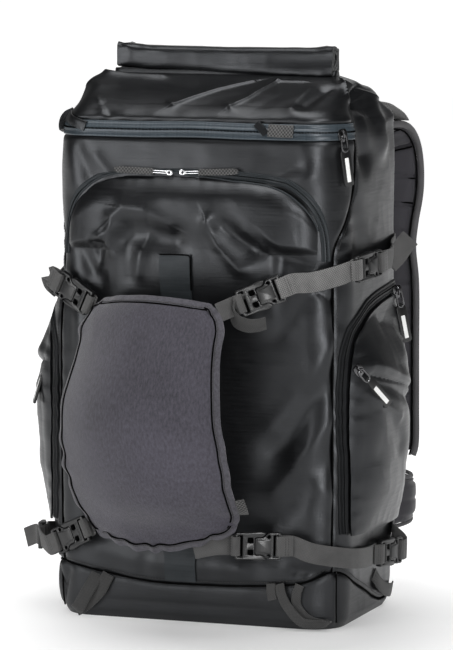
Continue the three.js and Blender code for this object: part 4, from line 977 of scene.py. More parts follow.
def makeRoll():
    turns = np.linspace(0, 1, int(roll["turns"] * roll["sides"])) * roll["turns"]
    angle = np.concatenate([turns, turns[::-1]]) * 2 * np.pi - np.pi / 2
    wind = turns * (roll["cloth"] + roll["gap"])
    inset = np.concatenate([wind, wind[::-1] + roll["cloth"]])
    deep, tall = (power(side(angle), 2 / roll["square"]) for side in (np.cos, np.sin))
    x = np.linspace(-1, 1, roll["steps"]) * roll["length"] / 2
    place, wound = np.meshgrid(x, np.mod(angle, 2 * np.pi) * 14, indexing="ij")
    ends = np.exp(-(roll["length"] / 2 - np.abs(place)) / 22)
    ripple = noise(place, wound, 37, 81) * 0.7
    ripple += crumple(place, wound * 1.3, 19, 82) * (0.15 + 0.75 * ends)
    ripple += np.where(np.sin(angle) > 0.3, noise(place, wound, 9, 83) * ends * 0.9, 0) - 0.5

    def middle(along):  # height of the roll's middle
        sag = roll["sag"] * (2 * along / roll["length"]) ** 2
        return wall["neck"] + roll["seat"] + roll["tall"] / 2 - roll["nest"] + sag

    inset = inset[None] - ripple
    y = (roll["deep"] / 2 - inset) * deep
    z = (roll["tall"] / 2 - inset) * tall + middle(place)
    droop = ease(place, -70, 112) * np.clip(-tall, 0, 1) * np.clip(0.35 - deep, 0, 1)  # its front hangs lower
    y, z = y - 7 * droop, z - 6.5 * droop
    peak = np.clip(tall, 0, 1) * (ease(np.abs(place), 84, 112) * (1 + 0.9 * noise(place, wound, 7, 84)))
    z = z + 1.7 * peak * (1 + np.sign(-place) * 0.4)
    form = loftForm(np.stack([place + roll["middleX"], y, z], -1), np.stack([place, wound], -1))
    core = np.column_stack([x * 0.97, 0 * x, middle(x)])
    form = joinForms([form, bandForm(core, (0, 0, 1), webSection * roll["core"])])
    makePiece("rollTop", form, "coated", "coated_cloth", sharp=60)


makeRoll()
print("back and roll made")


# front pocket under its arched zip
def archHeight(across):
    run = np.clip((np.abs(across) - pocket["flat"]) / (pocket["half"] - pocket["flat"]), 0, 1)
    return blend(pocket["foot"], pocket["top"], (1 - run ** pocket["square"]) ** (1 / pocket["square"]))


def pocketRise(across, z):
    up = np.clip((z - pocket["seam"]) / (archHeight(across) - pocket["seam"]), 0, 1)
    side = np.minimum(1, np.abs(across) / pocket["half"]) ** 6
    end = ease(np.abs(across), pocket["flowFrom"], pocket["flowTo"])
    foot = pocketFoot(across)
    low = foot + (1 - foot) * ease(up, 0, blend(0.5, 0.18, end))
    return pocket["depth"] * (1 - side) * low * np.sin(np.pi / 2 * np.clip((1 - up) / 0.36, 0, 1)) ** 0.8


def onFront(across, z, lift):
    return wallPoint(across, z, frontLift(across, z) + lift)


def makePocket():
    half = pocket["half"] - pocket["rim"]
    share, level = np.meshgrid(np.linspace(-1, 1, pocket["columns"]), np.linspace(0, 1, pocket["rows"]))
    across = share * half
    rim = blend(pocket["lap"], pocket["rim"], ease(across, -30, 80))  # it laps over the zip on the left
    z = blend(pocket["seam"] + 0 * across, archHeight(across) - rim, level)
    edge = np.minimum(archHeight(across) - rim - z, half - np.abs(across))
    lift = pocket["seat"] + pocket["thick"] + 0.3 + pocketRise(across, z)
    lift += slack(across, z, 91) * 0.2 * ease(z, pocket["seam"], pocket["seam"] + 18)
    lift += puckers(across, edge, 0.25, 19, 8, 92) + seamDip(edge, 1.0, 2.0)
    grid = wallPoint(across, z, panelLift(across, z) + np.maximum(lift, pocket["seat"] + pocket["thick"]))
    form = sheetForm(grid, pocket["thick"], np.stack([across, z], -1))
    makePiece("frontPocket", form, "coated", "coated_cloth")
    followPaths("pocketPiping", pipingTree, pocket["piping"], [(grid[-1],)], "strip", "zip_tape")


makePocket()

# zips: a tape with two raised lips and a slit between them, section across the tape and out from it
halfLip = [(1, -1.1), (0.98, 0.1), (0.9, 0.55), (0.78, 0.6), (0.68, 0.15), (0.42, 0.15), (0.36, 0.95),
           (0.1, 1.2), (0.03, 0.5)]
zipLips = np.array([(-wide, high) for wide, high in halfLip] + halfLip[::-1])
zipRibs = {"Pitch": 1.5, "Wide": 0.9, "High": 1.0}


def surfaceBand(path, section, surface, material=0):  # a band that follows a path and the surface under it
    path = np.asarray(path, float)
    way = unit(np.gradient(path, axis=0))
    across = path[:, None, 0] - way[:, None, 1] * section[:, 0]
    z = path[:, None, 1] + way[:, None, 0] * section[:, 0]
    loops = surface(across, z, np.broadcast_to(section[:, 1], across.shape))
    run = lengthAlong(path)
    uv = np.stack(np.broadcast_arrays(section[:, 0][None], run[:, None]), -1)
    return loftForm(loops, uv, material=material)


def teethPath(path, surface, lift):
    path = np.asarray(path, float)
    way = unit(np.gradient(path, axis=0))
    middle = surface(path[:, 0], path[:, 1], lift)
    aside = surface(path[:, 0] - way[:, 1], path[:, 1] + way[:, 0], lift) - middle
    return middle, unit(aside), np.cross(unit(np.gradient(middle, axis=0)), unit(aside))


def makeZip(name, path, width, surface, look="strip"):
    form = surfaceBand(path, zipLips * (width / 2, 1), surface)
    makePiece(name, form, look, "zip_tape")
    # the ribs are the black teeth, and their unshiny black also paints the shade in the slit between the lips
    ribs = teethPath(path, surface, 0.9)
    followPaths(name + "Ribs", rowTree, dict(zipRibs, Length=width * 0.13), [ribs], "seam", "zip_tape")


def flatRun(points, step):
    points = np.column_stack([np.asarray(points, float), np.zeros(len(points))])
    return smoothRun(points, step)[0][:, :2]


topZip = {"seam": 1.6, "step": 2.2}
archZip = {"ride": 4.5, "seat": 0.9, "count": 190}
sideZip = {"path": [(308, 331), (258, 328), (216, 321), (192, 312), (170, 299), (161, 281), (157, 256),
                    (156, 201), (158, 172), (159, 131), (161, 96)],
           "width": 12, "seat": 1.2}


def makeZips():
    middle = (wall["zipLow"] + wall["zipHigh"]) / 2
    reach = frontSeam(middle) - topZip["seam"]
    across = evenSteps(-reach, reach, topZip["step"])
    path = np.column_stack([across, middle + 0.6 * noise(across, 0 * across, 60, 101)])
    makeZip("topZip", path, wall["zipHigh"] - wall["zipLow"], wallPoint, "zip")

    angle = np.pi * (1 - np.linspace(0, 1, archZip["count"]))
    turn, ride, curve = np.cos(angle), archZip["ride"], 2 / pocket["square"]
    along = pocket["flat"] * np.clip(turn * 2.2, -1, 1)
    along = along + (pocket["half"] - pocket["flat"] + ride) * power(turn, curve)
    rise = blend(pocket["foot"], pocket["top"] + ride, np.abs(np.sin(angle)) ** curve)
    path = np.column_stack([along, rise])

    def onArch(a, z, lift):
        return onFront(a, z, lift + archZip["seat"])

    makeZip("frontPocketZip", path, pocket["zipWidth"], onArch)
    for side, hand in hands:
        def onWall(a, z, lift):
            return wallPoint(a, z, sideLift(a, z, hand) + lift + sideZip["seat"])

        path = flatRun(sideZip["path"], topZip["step"]) * (hand, 1)
        makeZip("sideZip" + side, path, sideZip["width"], onWall, "darkTape")


makeZips()

centreStrip = {"across": -12, "low": 42.5, "high": 374, "width": 33, "thick": 1.2, "seat": 0.9, "step": 3,
               "columns": 12, "edgeLow": 338, "edge": {"Pitch": 2, "Radius": 0.8}}


def makeStrip():
    z = evenSteps(centreStrip["low"], centreStrip["high"], centreStrip["step"])
    wide = np.linspace(-0.5, 0.5, centreStrip["columns"]) * centreStrip["width"]
    upper = np.column_stack([wide, np.full(len(wide), centreStrip["thick"])])
    section = np.concatenate([upper, upper[::-1] * (1, 0)])

    def onStrip(a, h, lift):
        return onFront(a, h, lift + centreStrip["seat"])

    form = surfaceBand(np.column_stack([np.full(len(z), centreStrip["across"]), z]), section, onStrip)
    makePiece("centreStrip", form, "strip", "zip_tape")
    # painted shadow: a black cord along the strip's top and right edge, where a fold's shadow falls
    left, right = centreStrip["across"] - wide[-1], centreStrip["across"] + wide[-1]
    top = centreStrip["high"] - 1
    rim = flatRun([(left, top), (right - 1.5, top), (right, top - 2), (right, centreStrip["edgeLow"])], 2)
    edge = onStrip(rim[:, 0], rim[:, 1], centreStrip["thick"])
    followPaths("stripEdgeShadow", pipingTree, centreStrip["edge"], [(edge,)], "seam", "webbing")


makeStrip()

# side pockets behind the side zips
sidePocket = {"depth": 21, "low": 93, "high": 322, "backEdge": 322, "thick": 2, "seat": 1.6, "clear": 7.6,
              "columns": 80, "rows": 120,
              "flap": (165, 257, -0.23),  # where the flap's edge starts, and its fall along the wall
              "folds": [(188, 262, 310, 226, 9, 4, 2), (190, 250, 306, 214, 10, -6, 2),
                        (196, 235, 250, 178, 13, -4, 2), (175, 236, 240, 205, 6, 3, 1.4),
                        (185, 150, 260, 120, 14, 1.6, 1.8), (200, 175, 290, 150, 14, -1.6, 1.9),
                        (240, 300, 300, 285, 10, -3, 1.7)]}


def sideZipAcross(z):
    return readTable([(row[1], row[0]) for row in sideZip["path"][::-1]], z)[..., 0]


def makeSidePockets():
    for side, hand in hands:
        share, level = (np.linspace(0, 1, sidePocket[count]) for count in ("columns", "rows"))
        share, level = np.meshgrid(share[::hand], level)
        z = blend(sidePocket["low"], sidePocket["high"], level)
        clear = sidePocket["clear"]
        front = sideZipAcross(np.minimum(z + clear, sideZip["path"][0][1])) + clear
        across = blend(front, sidePocket["backEdge"], share)
        over = 1 - np.abs(2 * share - 1) ** 3.5
        ends = np.sin(np.pi * np.minimum(1, level * 0.93 + 0.02)) ** 0.6
        rise = sidePocket["depth"] * over * ends * ease(1.02 - level, 0, 0.3)
        rise += (foldLift(sidePocket["folds"], across, z) + slack(across, z, 111) * 0.6) * over
        start, high, fall = sidePocket["flap"]
        under = high + fall * (across - start) - z
        rise += over * (2.4 * ease(under, -3, 3) - 2.4 * np.exp(-((under + 1) / 2.6) ** 2) - 1)
        edge = np.minimum(share, 1 - share) * (sidePocket["backEdge"] - front)
        rise += puckers(z, edge, 0.8, 21, 9, 112)
        lift = sideLift(across, z, hand) + sidePocket["seat"] + sidePocket["thick"] + np.maximum(0, rise)
        form = sheetForm(wallPoint(hand * across, z, lift), sidePocket["thick"], np.stack([across, z], -1))
        makePiece("sidePocket" + side, form, "coated", "coated_cloth")


makeSidePockets()
print("pockets and zips made")

# gear holder, rows from the upper edge down: both edges, and how far the middle stands forward and up
holder = {"rows": np.array([(-84, -122, 325, 42, -162, 329, 22, 8), (-106, -120, 306, 56, -166, 312, 36, 5),
                            (-114, -130, 264, 58, -182, 270, 44, 2), (-125, -137, 214, 60, -187, 222, 47, 0),
                            (-124, -133, 170, 65, -180, 177, 45, -2),
                            (-119, -127, 138, 66, -165, 142, 38, -5),
                            (-108, -120, 110, 66, -146, 119, 26, -8),
                            (-90, -120, 91, 59, -140, 106, 15, -17)], float),
          "thick": 1.8, "columns": 96, "lines": 130, "binding": (8.4, 2.8),
          "rim": {"Pitch": 3, "Radius": 0.9}, "flat": (0.222, 0.262), "area": 0.0515,
          "stitch": {"Pitch": 2.6, "Length": 2.2, "Wide": 0.8, "High": 0.45}, "label": (9.5, 1.4),
          "labelRows": (0.74, 0.79, 0.84),
          # folds in shares of the width and of the height down
          "folds": [(0.98, 0.97, 0.7, 0.8, 0.035, 2.2, 1.4), (0.99, 0.95, 0.82, 0.7, 0.03, -1.8, 1.6),
                    (0.95, 0.99, 0.6, 0.93, 0.03, 1.8, 1.5), (0.03, 0.06, 0.2, 0.22, 0.04, 1.6, 1.6),
                    (0.02, 0.95, 0.2, 0.8, 0.04, 1.4, 1.6), (0.97, 0.03, 0.8, 0.16, 0.04, 1.4, 1.6)]}


def holderGrid():
    share, down = np.meshgrid(np.linspace(0, 1, holder["columns"]), np.linspace(1, 0, holder["lines"]))
    keyed = np.column_stack([np.linspace(0, 1, len(holder["rows"])), holder["rows"]])
    leftX, leftY, leftZ, rightX, rightY, rightZ, crown, lift = np.moveaxis(readTable(keyed, down), -1, 0)
    dome = 1 - (2 * share - 1) ** 2
    plain = np.stack([blend(leftX, rightX, share), blend(leftY, rightY, share) - dome * crown,
                      blend(leftZ, rightZ, share) + dome * lift], -1)
    wide, tall = share * 200, down * 240
    ruffle = np.sin(tall / 8 + 5 * noise(tall, 0 * tall, 29, 124))
    plain[..., 0] += ruffle * (1.5 * np.exp(-share * 25) - 0.5 * np.exp((share - 1) * 25))
    plain[..., 2] += np.sin(wide / 9 + 6 * noise(wide, 0 * wide, 37, 125)) * 1.8 * np.exp((down - 1) * 26)
    rise = np.zeros(share.shape)
    for fromS, fromT, toS, toT, width, height, sharp in holder["folds"]:
        run = np.array([toS - fromS, toT - fromT])
        t = np.clip(((share - fromS) * run[0] + (down - fromT) * run[1]) / (run @ run), 0, 1)
        away = np.hypot(share - fromS - t * run[0], down - fromT - t * run[1])
        rise += height * (1 - t) ** 0.7 * np.exp(-(away / width) ** sharp)
    edge = np.minimum(np.minimum(share, 1 - share) * 180, np.minimum(down, 1 - down) * 230)
    wave = np.sin(tall / 8.5 + 4 * noise(tall, 0 * tall, 31, 122))
    rise += noise(wide, tall, 40, 121) + 1.1 * wave * np.exp(-np.minimum(share, 1 - share) * 20)
    rise += noise(wide, tall, 12, 123) * 0.5 * np.exp(-edge / 16)
    return plain + gridNormals(plain) * (rise + holder["thick"])[..., None], wide, tall


def makeHolder():
    grid, wide, tall = holderGrid()
    form = sheetForm(grid, holder["thick"], np.stack([wide, -tall], -1))
    panel = makePiece("holderPanel", form, "stretch", "stretch_cloth")
    normal = gridNormals(grid)
    half = holder["binding"][0] / 2
    edges = [(grid[:, 0], normal[:, 0], grid[:, 1]), (grid[:, -1], normal[:, -1], grid[:, -2]),
             (grid[0], normal[0], grid[1]), (grid[-1], normal[-1], grid[-2])]
    forms, threads, shadeLines = [], [], []
    for line, out, inside in edges:
        way = unit(np.gradient(line, axis=0))
        inward = unit((inside - line) - way * np.sum((inside - line) * way, -1, keepdims=True))
        middle = line + inward * (half - 1.2) - out * (holder["thick"] / 2)
        forms.append(bandForm(middle, inward, webSection * holder["binding"]))
        threads.append((line + inward * (2 * half - 3) + out * 0.75, way, out))
        # a black cord just inside the binding: painted shade in the groove along the hem
        shadeLines.append((line + inward * (2 * half - 1) + out * 0.2,))
    binding = makePiece("holderBinding", joinForms(forms), "hem", "stretch_cloth", "")
    stitched = followPaths("holderStitches", rowTree, holder["stitch"], threads, "thread", "webbing")
    sunk = followPaths("holderSeamShade", pipingTree, holder["rim"], shadeLines, "seam", "webbing")
    rows = [int(round((1 - down) * (holder["lines"] - 1))) for down in holder["labelRows"]]
    run, _ = smoothRun(grid[rows, -1] + (5.4, 1, 0), 1.5)
    form = bandForm(run, (1, 0.35, 0), webSection * holder["label"])
    tag = makePiece("holderLabel", form, "braid", "webbing")


makeHolder()
print("gear holder made")

# side-release buckles: half length, half width, thickness, bars at the ends and the slots beside them
clip = {"half": 23, "halfWidth": 13.5, "thick": 6, "bar": 3, "slot": 4.6, "slotHalf": 11,
        "waist": 8.5, "meet": 0.4, "seat": 0.3}
clips = {  # middle, way from the bag's middle outwards, way that it faces
    "UpperLeft": ((-121.5, -113.5, 331), (-0.85, 0.28, 0.44), (-0.25, -1, 0)),
    "UpperRight": ((87, -141, 338), (0.82, 0.45, 0.34), (0.4, -1, 0.1)),
    "LowerLeft": ((-125, -113.5, 85), (-0.86, 0.3, -0.42), (-0.25, -1, 0)),
    "LowerRight": ((80, -129, 88), (0.9, 0.42, -0.02), (0.4, -1, 0)),
    "SideUpper": ((168, -50, 362), (0.22, 0.97, 0.08), (1, -0.2, 0)),
    "SideLower": ((169.5, 18, 64), (0.18, 0.98, -0.05), (1, -0.2, 0)),
}


def ring(x0, x1, y0, y1, radius=0.8):
    return rounded([(x0, y0), (x1, y0), (x1, y1), (x0, y1)], radius)


def disc(x, y, radius):
    turn = np.linspace(0, 2 * np.pi, 14, endpoint=False)
    return np.column_stack([x + radius * np.cos(turn), y + radius * np.sin(turn)])


def mirrored(half):  # a whole outline from its lower half
    return half + [(x, -y) for x, y in half[::-1]]


def shadeBacking(x0, x1):  # painted shade: a black plate behind the openings, so they look dark inside
    half, low = clip["slotHalf"] - 0.6, 0.2 - clip["thick"] / 2
    return plateForm(ring(x0, x1, -half, half), [], low, low + 0.7, 0.2, 1)


def socketForm():
    half, wide, waist, thick = clip["half"], clip["halfWidth"], clip["waist"], clip["thick"] / 2
    slotHalf = clip["slotHalf"]
    inner = half - clip["bar"] - clip["slot"]
    body = rounded(mirrored([(-3, -waist), (4.5, -waist), (10.5, -wide), (half, -wide)]), 2.2, 4)
    holes = [ring(inner, inner + clip["slot"], -slotHalf, slotHalf)]
    holes += [disc(10.6, hand * 9.6, 1.7) for hand in (-1, 1)]
    face = rounded(mirrored([(-1.8, -6), (5.4, -6), (8.6, -7.2), (13.4, -7.2)]), 1.6, 3)
    return joinForms([plateForm(body, holes, -thick, thick, 0.9),
                      plateForm(face, [], thick - 0.4, thick + 0.5, 0.35), shadeBacking(5, inner + 2.4)])


def prongForm():
    half, wide, thick, meet = clip["half"], clip["halfWidth"], clip["thick"] / 2, clip["meet"]
    slotHalf = clip["slotHalf"]
    arm = clip["waist"] + meet
    outer = -half + clip["bar"]
    inner = outer + clip["slot"]
    body = rounded(mirrored([(-half, -wide), (-8, -wide), (2, -wide - 1.2), (8.4, -wide + 0.3), (4.4, -arm),
                             (-3 - meet, -arm)]), 2.4, 4)
    holes = [ring(outer, inner, -slotHalf, slotHalf)]
    holes += [ring(-10.4, -4.8, low, low + 5.2, 1.4) for low in (-8.6, 3.4)]
    forms = [plateForm(body, holes, -thick, thick, 0.9)]
    for x in (-13.6, -12):  # ridges to push on
        forms.append(plateForm(ring(x - 0.55, x + 0.55, -9.5, 9.5, 0.4), [], thick - 0.3, thick + 0.45, 0.25))
    return joinForms([*forms, shadeBacking(inner - 2.4, -3.6)])


def makeBuckles():
    socket, prong = socketForm(), prongForm()
    for title, place in clips.items():
        for half, form in (("Socket", socket), ("Prong", prong)):
            makePiece("buckle" + half + title, moveForm(form, *place), "plastic seam", "plastic", sharp=35)


lock = {"place": ((-178, -64, 75), (-0.15, 0.99, 0), (-0.99, -0.15, 0)), "half": 10, "halfWidth": 14,
        "thick": 4, "bar": 3.2}


def makeLock():
    half, wide, bar = lock["half"], lock["halfWidth"], lock["bar"]
    slotHalf = clip["slotHalf"]
    holes = [ring(-half + bar, -bar / 2, -slotHalf, slotHalf),
             ring(bar / 2, half - bar, -slotHalf + 0.2, slotHalf - 0.2)]
    form = plateForm(ring(-half, half, -wide, wide, 2.5), holes, -lock["thick"] / 2, lock["thick"] / 2, 0.7)
    form = moveForm(form, *lock["place"])
    makePiece("ladderLock", form, "plastic", "plastic", sharp=35)


makeBuckles()
makeLock()
print("buckles made")

# straps, folded round the buckles' bars
webbing = {"width": 20, "thick": 1.6, "step": 1.6, "fold": 13, "closed": 1.2, "bend": 0.6,
           "threads": (-5.5, -8.5), "threadHalf": 8,
           "stitch": {"Pitch": 2.6, "Length": 1.8, "Wide": 0.55, "High": 0.4}}
strapThreads = []


def barFold(place, end, free=webbing["fold"]):
    at, along, facing, side = place
    bar = at + along * end * (clip["half"] - clip["bar"] / 2)
    clear = clip["seat"] + webbing["thick"] / 2 + 0.1
    high, turn = clip["thick"] / 2 + clear, clip["bar"] / 2 + clear
    closed, bend, edge = webbing["closed"], webbing["bend"], -clip["bar"] / 2 - 1.5
    spots = [(-free, closed), (edge, high), (turn - bend, high), (turn, high - bend), (turn, bend - high),
             (turn - bend, -high), (edge, -high), (-webbing["fold"], -closed)]
    for away in webbing["threads"]:  # rows of thread through the folded end
        level = blend(closed, high, (webbing["fold"] + away) / 10)
        wide = np.linspace(-1, 1, 12)[:, None] * webbing["threadHalf"]
        line = bar - along * end * away + facing * (level + webbing["thick"] / 2 + 0.25) + side * wide
        strapThreads.append((line, side, facing))
    return [bar - along * end * a + facing * n for a, n in spots]


def makeStrap(name, points, sides, width=webbing["width"], thick=webbing["thick"], look="webbing"):
    run, side = smoothRun(points, webbing["step"], sides)
    form = bandForm(run, side, webSection * (width, thick))
    makePiece(name, form, look, "webbing")


def fromFold(place, end, run, free=webbing["fold"]):
    fold = barFold(place, end, free)
    upright = np.array([0, 0, np.sign(place[3][2])])
    sides = [place[3]] * len(fold)
    sides += [blend(place[3], upright, min(1, (i + 1) / 2)) for i in range(len(run))]
    return [*fold, *[np.array(p, float) for p in run]], sides


def onWalls(rows):
    return [wallPoint(a, z, lift) for a, z, lift in rows]


# straps given the darker webbing copy are painted in shade
straps = {
    "between": [  # from one buckle to another
        ("strapUpperRight", "UpperRight", "SideUpper", "webbing", [(130, -110, 350), (152, -93, 356)]),
        ("strapLowerRight", "LowerRight", "SideLower", "shadedWeb",
         [(130, -112, 81), (151, -93, 75), (162, -66, 70), (164, -36, 67)])],
    "weave": ((-16, -2.2), (-9, -3.3), (-5.6, -3.1), (-4, 0), (-3.6, 3.4)),  # through the ladder lock
    "fixed": [(-212, 73, 7), (-240, 72, 4), (-272, 74, 3), (-299, 77, 2.6), (-311, 79, 1.25)],
    "ends": [  # from a buckle, through points in the air, then along the wall
        ("strapEndUpperRight", "SideUpper", [(175, 8, 366)],
         [(272, 370, 6), (299, 373, 2.6), (311, 374, 1.25)]),
        ("strapEndLowerRight", "SideLower", [(172, 56, 65)], [(298, 76, 4), (309, 81, 2.4), (315, 83, 1.6)]),
        ("strapUpperLeft", "UpperLeft", [(-149, -98, 336), (-157, -76, 333)],
         [(-203, 338, 5), (-245, 352, 4), (-278, 366, 3), (-299, 373, 3.2), (-311, 374, 2)]),
        ("strapLowerLeft", "LowerLeft", [(-190, -52, 73), (-204, -44, 67)], [])],
    "tails": [  # loose ends
        ("strapTailUpperRight", [(173, 0, 359), (178, 12, 367), (182, 24, 377), (185, 34, 383)],
         (0.74, 0.27, -0.61), "shadedWeb"),
        ("strapTailHolder", [(73, -143, 335), (66, -148, 331), (62.5, -151, 323), (66, -150.5, 314),
                             (75, -146, 309), (84, -141, 309), (91, -137, 311)],
         (0.34, -0.6, 0.72), "loopWeb")],
    "tabs": {"UpperLeft": [(-97.4, -120.6, 317.8)], "UpperRight": [(51, -164.6, 322.3)],
             "LowerLeft": [(-100, -120.3, 98.8)], "LowerRight": [(40, -141.5, 88), (18, -144.5, 83)]},
    "tabFold": 5, "tabWidth": 19}


def makeStraps():
    place = {name: placeOf(*row) for name, row in clips.items()}
    for name, first, last, look, run in straps["between"]:
        start, end = barFold(place[first], 1), barFold(place[last], -1)[::-1]
        points = [*start, *[np.array(p, float) for p in run], *end]
        share = np.clip((np.arange(len(points)) - len(start) + 1) / (len(run) + 1), 0, 1)[:, None]
        makeStrap(name, points, blend(place[first][3], place[last][3], share), look=look)
    at, along, facing, side = placeOf(*lock["place"])
    weave = [at + along * a + facing * n for a, n in straps["weave"]]
    lockBar = at + along * (lock["half"] - lock["bar"] / 2 - clip["half"] + clip["bar"] / 2)
    fixed = barFold((lockBar, along, facing, side), 1) + onWalls(straps["fixed"])
    makeStrap("strapEndLowerLeft", fixed, [side] * len(fixed), look="shadedWeb")
    for name, start, inAir, onWall in straps["ends"]:
        run = [*(weave if start == "LowerLeft" else []), *inAir, *onWalls(onWall)]
        makeStrap(name, *fromFold(place[start], 1, run), look="shadedWeb")
    for name, points, side, look in straps["tails"]:
        run, _ = smoothRun(points, webbing["step"])
        form = bandForm(run, side, webSection * (webbing["width"], webbing["thick"]))
        makePiece(name, form, look, "webbing", "")
    for title, run in straps["tabs"].items():
        points, sides = fromFold(place[title], -1, run, straps["tabFold"])
        del points[len(points) - len(run) - 1], sides[0]
        makeStrap("holderTab" + title, points, sides, straps["tabWidth"], look="shadedWeb")


makeStraps()

# loops: their runs along the wall (across, height, lift), the way of the width, and the width
loops = {"Left": {"runs": [[(-90, 45, 1.2), (-94, 37, 3), (-99, 28, 3.2), (-112, 15, 3.4), (-121, 8, 4),
                            (-124.5, 6.2, 6), (-121, 9, 8), (-112, 26, 7), (-104, 40, 3.4), (-102, 45, 1.6)]],
                  "side": (0.83, 0, -0.55), "width": 13},
         "Right": {"runs": [[(114, 46, 1.2), (111, 36, 3), (112, 24, 3.2), (122, 12, 3.2), (134, 7.5, 4),
                             (139, 7, 6.2), (134, 7.6, 8), (118, 9.5, 8), (103, 24, 7), (96, 36, 5),
                             (93, 46, 1.6)],
                            [(84, 46, 1.2), (84.5, 38, 3), (86.5, 29.5, 3.6)]],
                   "side": (0.8, 0, 0.6), "width": 10},
         "Side": {"runs": [[(241, 43, 1.4), (250, 33, 4), (268, 23, 6), (290, 18, 6), (312, 16, 3.4)]],
                  "side": (0, 0.6, 0.8), "width": 14}}


def makeLoops():
    for title, loop in loops.items():
        section = webSection * (loop["width"], webbing["thick"])
        runs = [smoothRun(onWalls(rows), webbing["step"])[0] for rows in loop["runs"]]
        form = joinForms([bandForm(run, loop["side"], section) for run in runs])
        makePiece("gearLoop" + title, form, "loopWeb", "webbing")


makeLoops()

zipTab = {"lift": 1.9, "step": 1.5,  # each band's path and width
          "flat": ([(79, 497.4), (92, 496.8), (105, 496.6)], 12.5),
          "folded": ([(66, 504), (71.5, 499.5), (77, 493.5)], 7),
          "end": ([(-148, 506.5), (-138, 504.5), (-126, 501), (-115, 497.5)], 10)}
sideTab = {"across": -172, "rows": [(509, 2.2), (506, 4), (501, 4.6), (495, 3.6), (490, 1.8)],
           "side": (-0.2, 1, 0), "width": 16, "thick": 5.5}


def makeTabs():
    def onZip(a, z, lift):
        return wallPoint(a, z, lift + zipTab["lift"])

    def band(path, width, material=0):
        section = webSection * (width, webbing["thick"])
        return surfaceBand(flatRun(path, zipTab["step"]), section, onZip, material)

    # the folded band takes the dark tape finish: painted shade in the hollow of the fold
    form = joinForms([band(*zipTab["flat"]), band(*zipTab["folded"], 1)])
    makePiece("topZipTab", form, "braid darkTape", "webbing")
    makePiece("topZipEnd", band(*zipTab["end"]), "coated", "coated_cloth", "")
    stub = [wallPoint(sideTab["across"], z, lift) for z, lift in sideTab["rows"]]
    sides = [sideTab["side"]] * len(stub)
    makeStrap("sideTabLeft", stub, sides, sideTab["width"], sideTab["thick"], "darkTape")


makeTabs()
followPaths("strapStitches", rowTree, webbing["stitch"], strapThreads, "thread", "webbing")
print("straps made")

# zip pulls: a slider with its bridge, a wire link and a moulded tab with a pale stripe
pull = {"link": (6.5, 23), "linkHalf": 3.4, "wire": 1.1, "tabHalf": 6, "thick": 2.6,
        "head": [(0, -3.6), (3, -5.4), (10, -5.4), (13, -3.6)],
        "bridge": [(1.5, 0, 0.2), (2.5, 0, 1.8), (5.5, 0, 2.4), (8.5, 0, 1.8), (9.5, 0, 0.2)]}
cordPull = {"link": (7, 24), "linkHalf": 1.1, "wire": 0.5, "braid": (6.4, 3.2), "braidFrom": 22, "steps": 60,
            "head": [(1, -1.4), (3, -2.4), (6, -2.4), (8, -1.4)],
            "bridge": [(1, 1.6, 0), (2, 2.2, 1.5), (4.5, 2.4, 2.1), (6.5, 1.2, 1.6), (8, 0, 0.6)]}


def stadium(x0, x1, half, z, count=10):
    turn = np.linspace(-np.pi / 2, np.pi / 2, count)
    far = np.column_stack([x1 - half + half * np.cos(turn), half * np.sin(turn)])
    near = np.column_stack([x0 + half - half * np.cos(turn), -half * np.sin(turn)])
    return np.column_stack([np.concatenate([far, near]), np.full(2 * count, z)])


def pullForm(length):
    thick, half = pull["thick"] / 2, pull["tabHalf"]
    tab = mirrored([(19, -2.2), (23, -half), (length - 2, -half), (length, -half + 1.5)])
    stripe = ring(length - 28, length - 4, -2.3, 2.3, 0.6)
    return joinForms([
        plateForm(rounded(mirrored(pull["head"]), 1.5), [], -thick, 0.4, 0.4, 1),
        tubeForm(smoothRun(pull["bridge"], 0.7)[0], 1.0, material=1),
        tubeForm(stadium(*pull["link"], pull["linkHalf"], 1.0), pull["wire"], True, 1),
        plateForm(rounded(tab, 1.6), [], -thick, thick, 0.6, 0),
        plateForm(stripe, [], thick - 0.3, thick + 0.12, 0.08, 2)])


def cordPullForm(length):
    steps = cordPull["steps"]
    run = np.column_stack([np.linspace(cordPull["braidFrom"], length, steps), np.zeros(steps),
                           np.linspace(0.6, 0.2, steps)])
    taper = 1 - 0.35 * ease(run[:, 0], length - 5, length)
    return joinForms([
        plateForm(rounded(mirrored(cordPull["head"]), 1.2), [disc(4.6, 0, 1.2)], -1.2, 0.2, 0.3),
        tubeForm(smoothRun(cordPull["bridge"], 0.7)[0], 0.6),
        tubeForm(stadium(*cordPull["link"], cordPull["linkHalf"], 0.8, 12), cordPull["wire"], True),
        bandForm(run, (0, 1, 0), webSection * cordPull["braid"], 1, taper)])


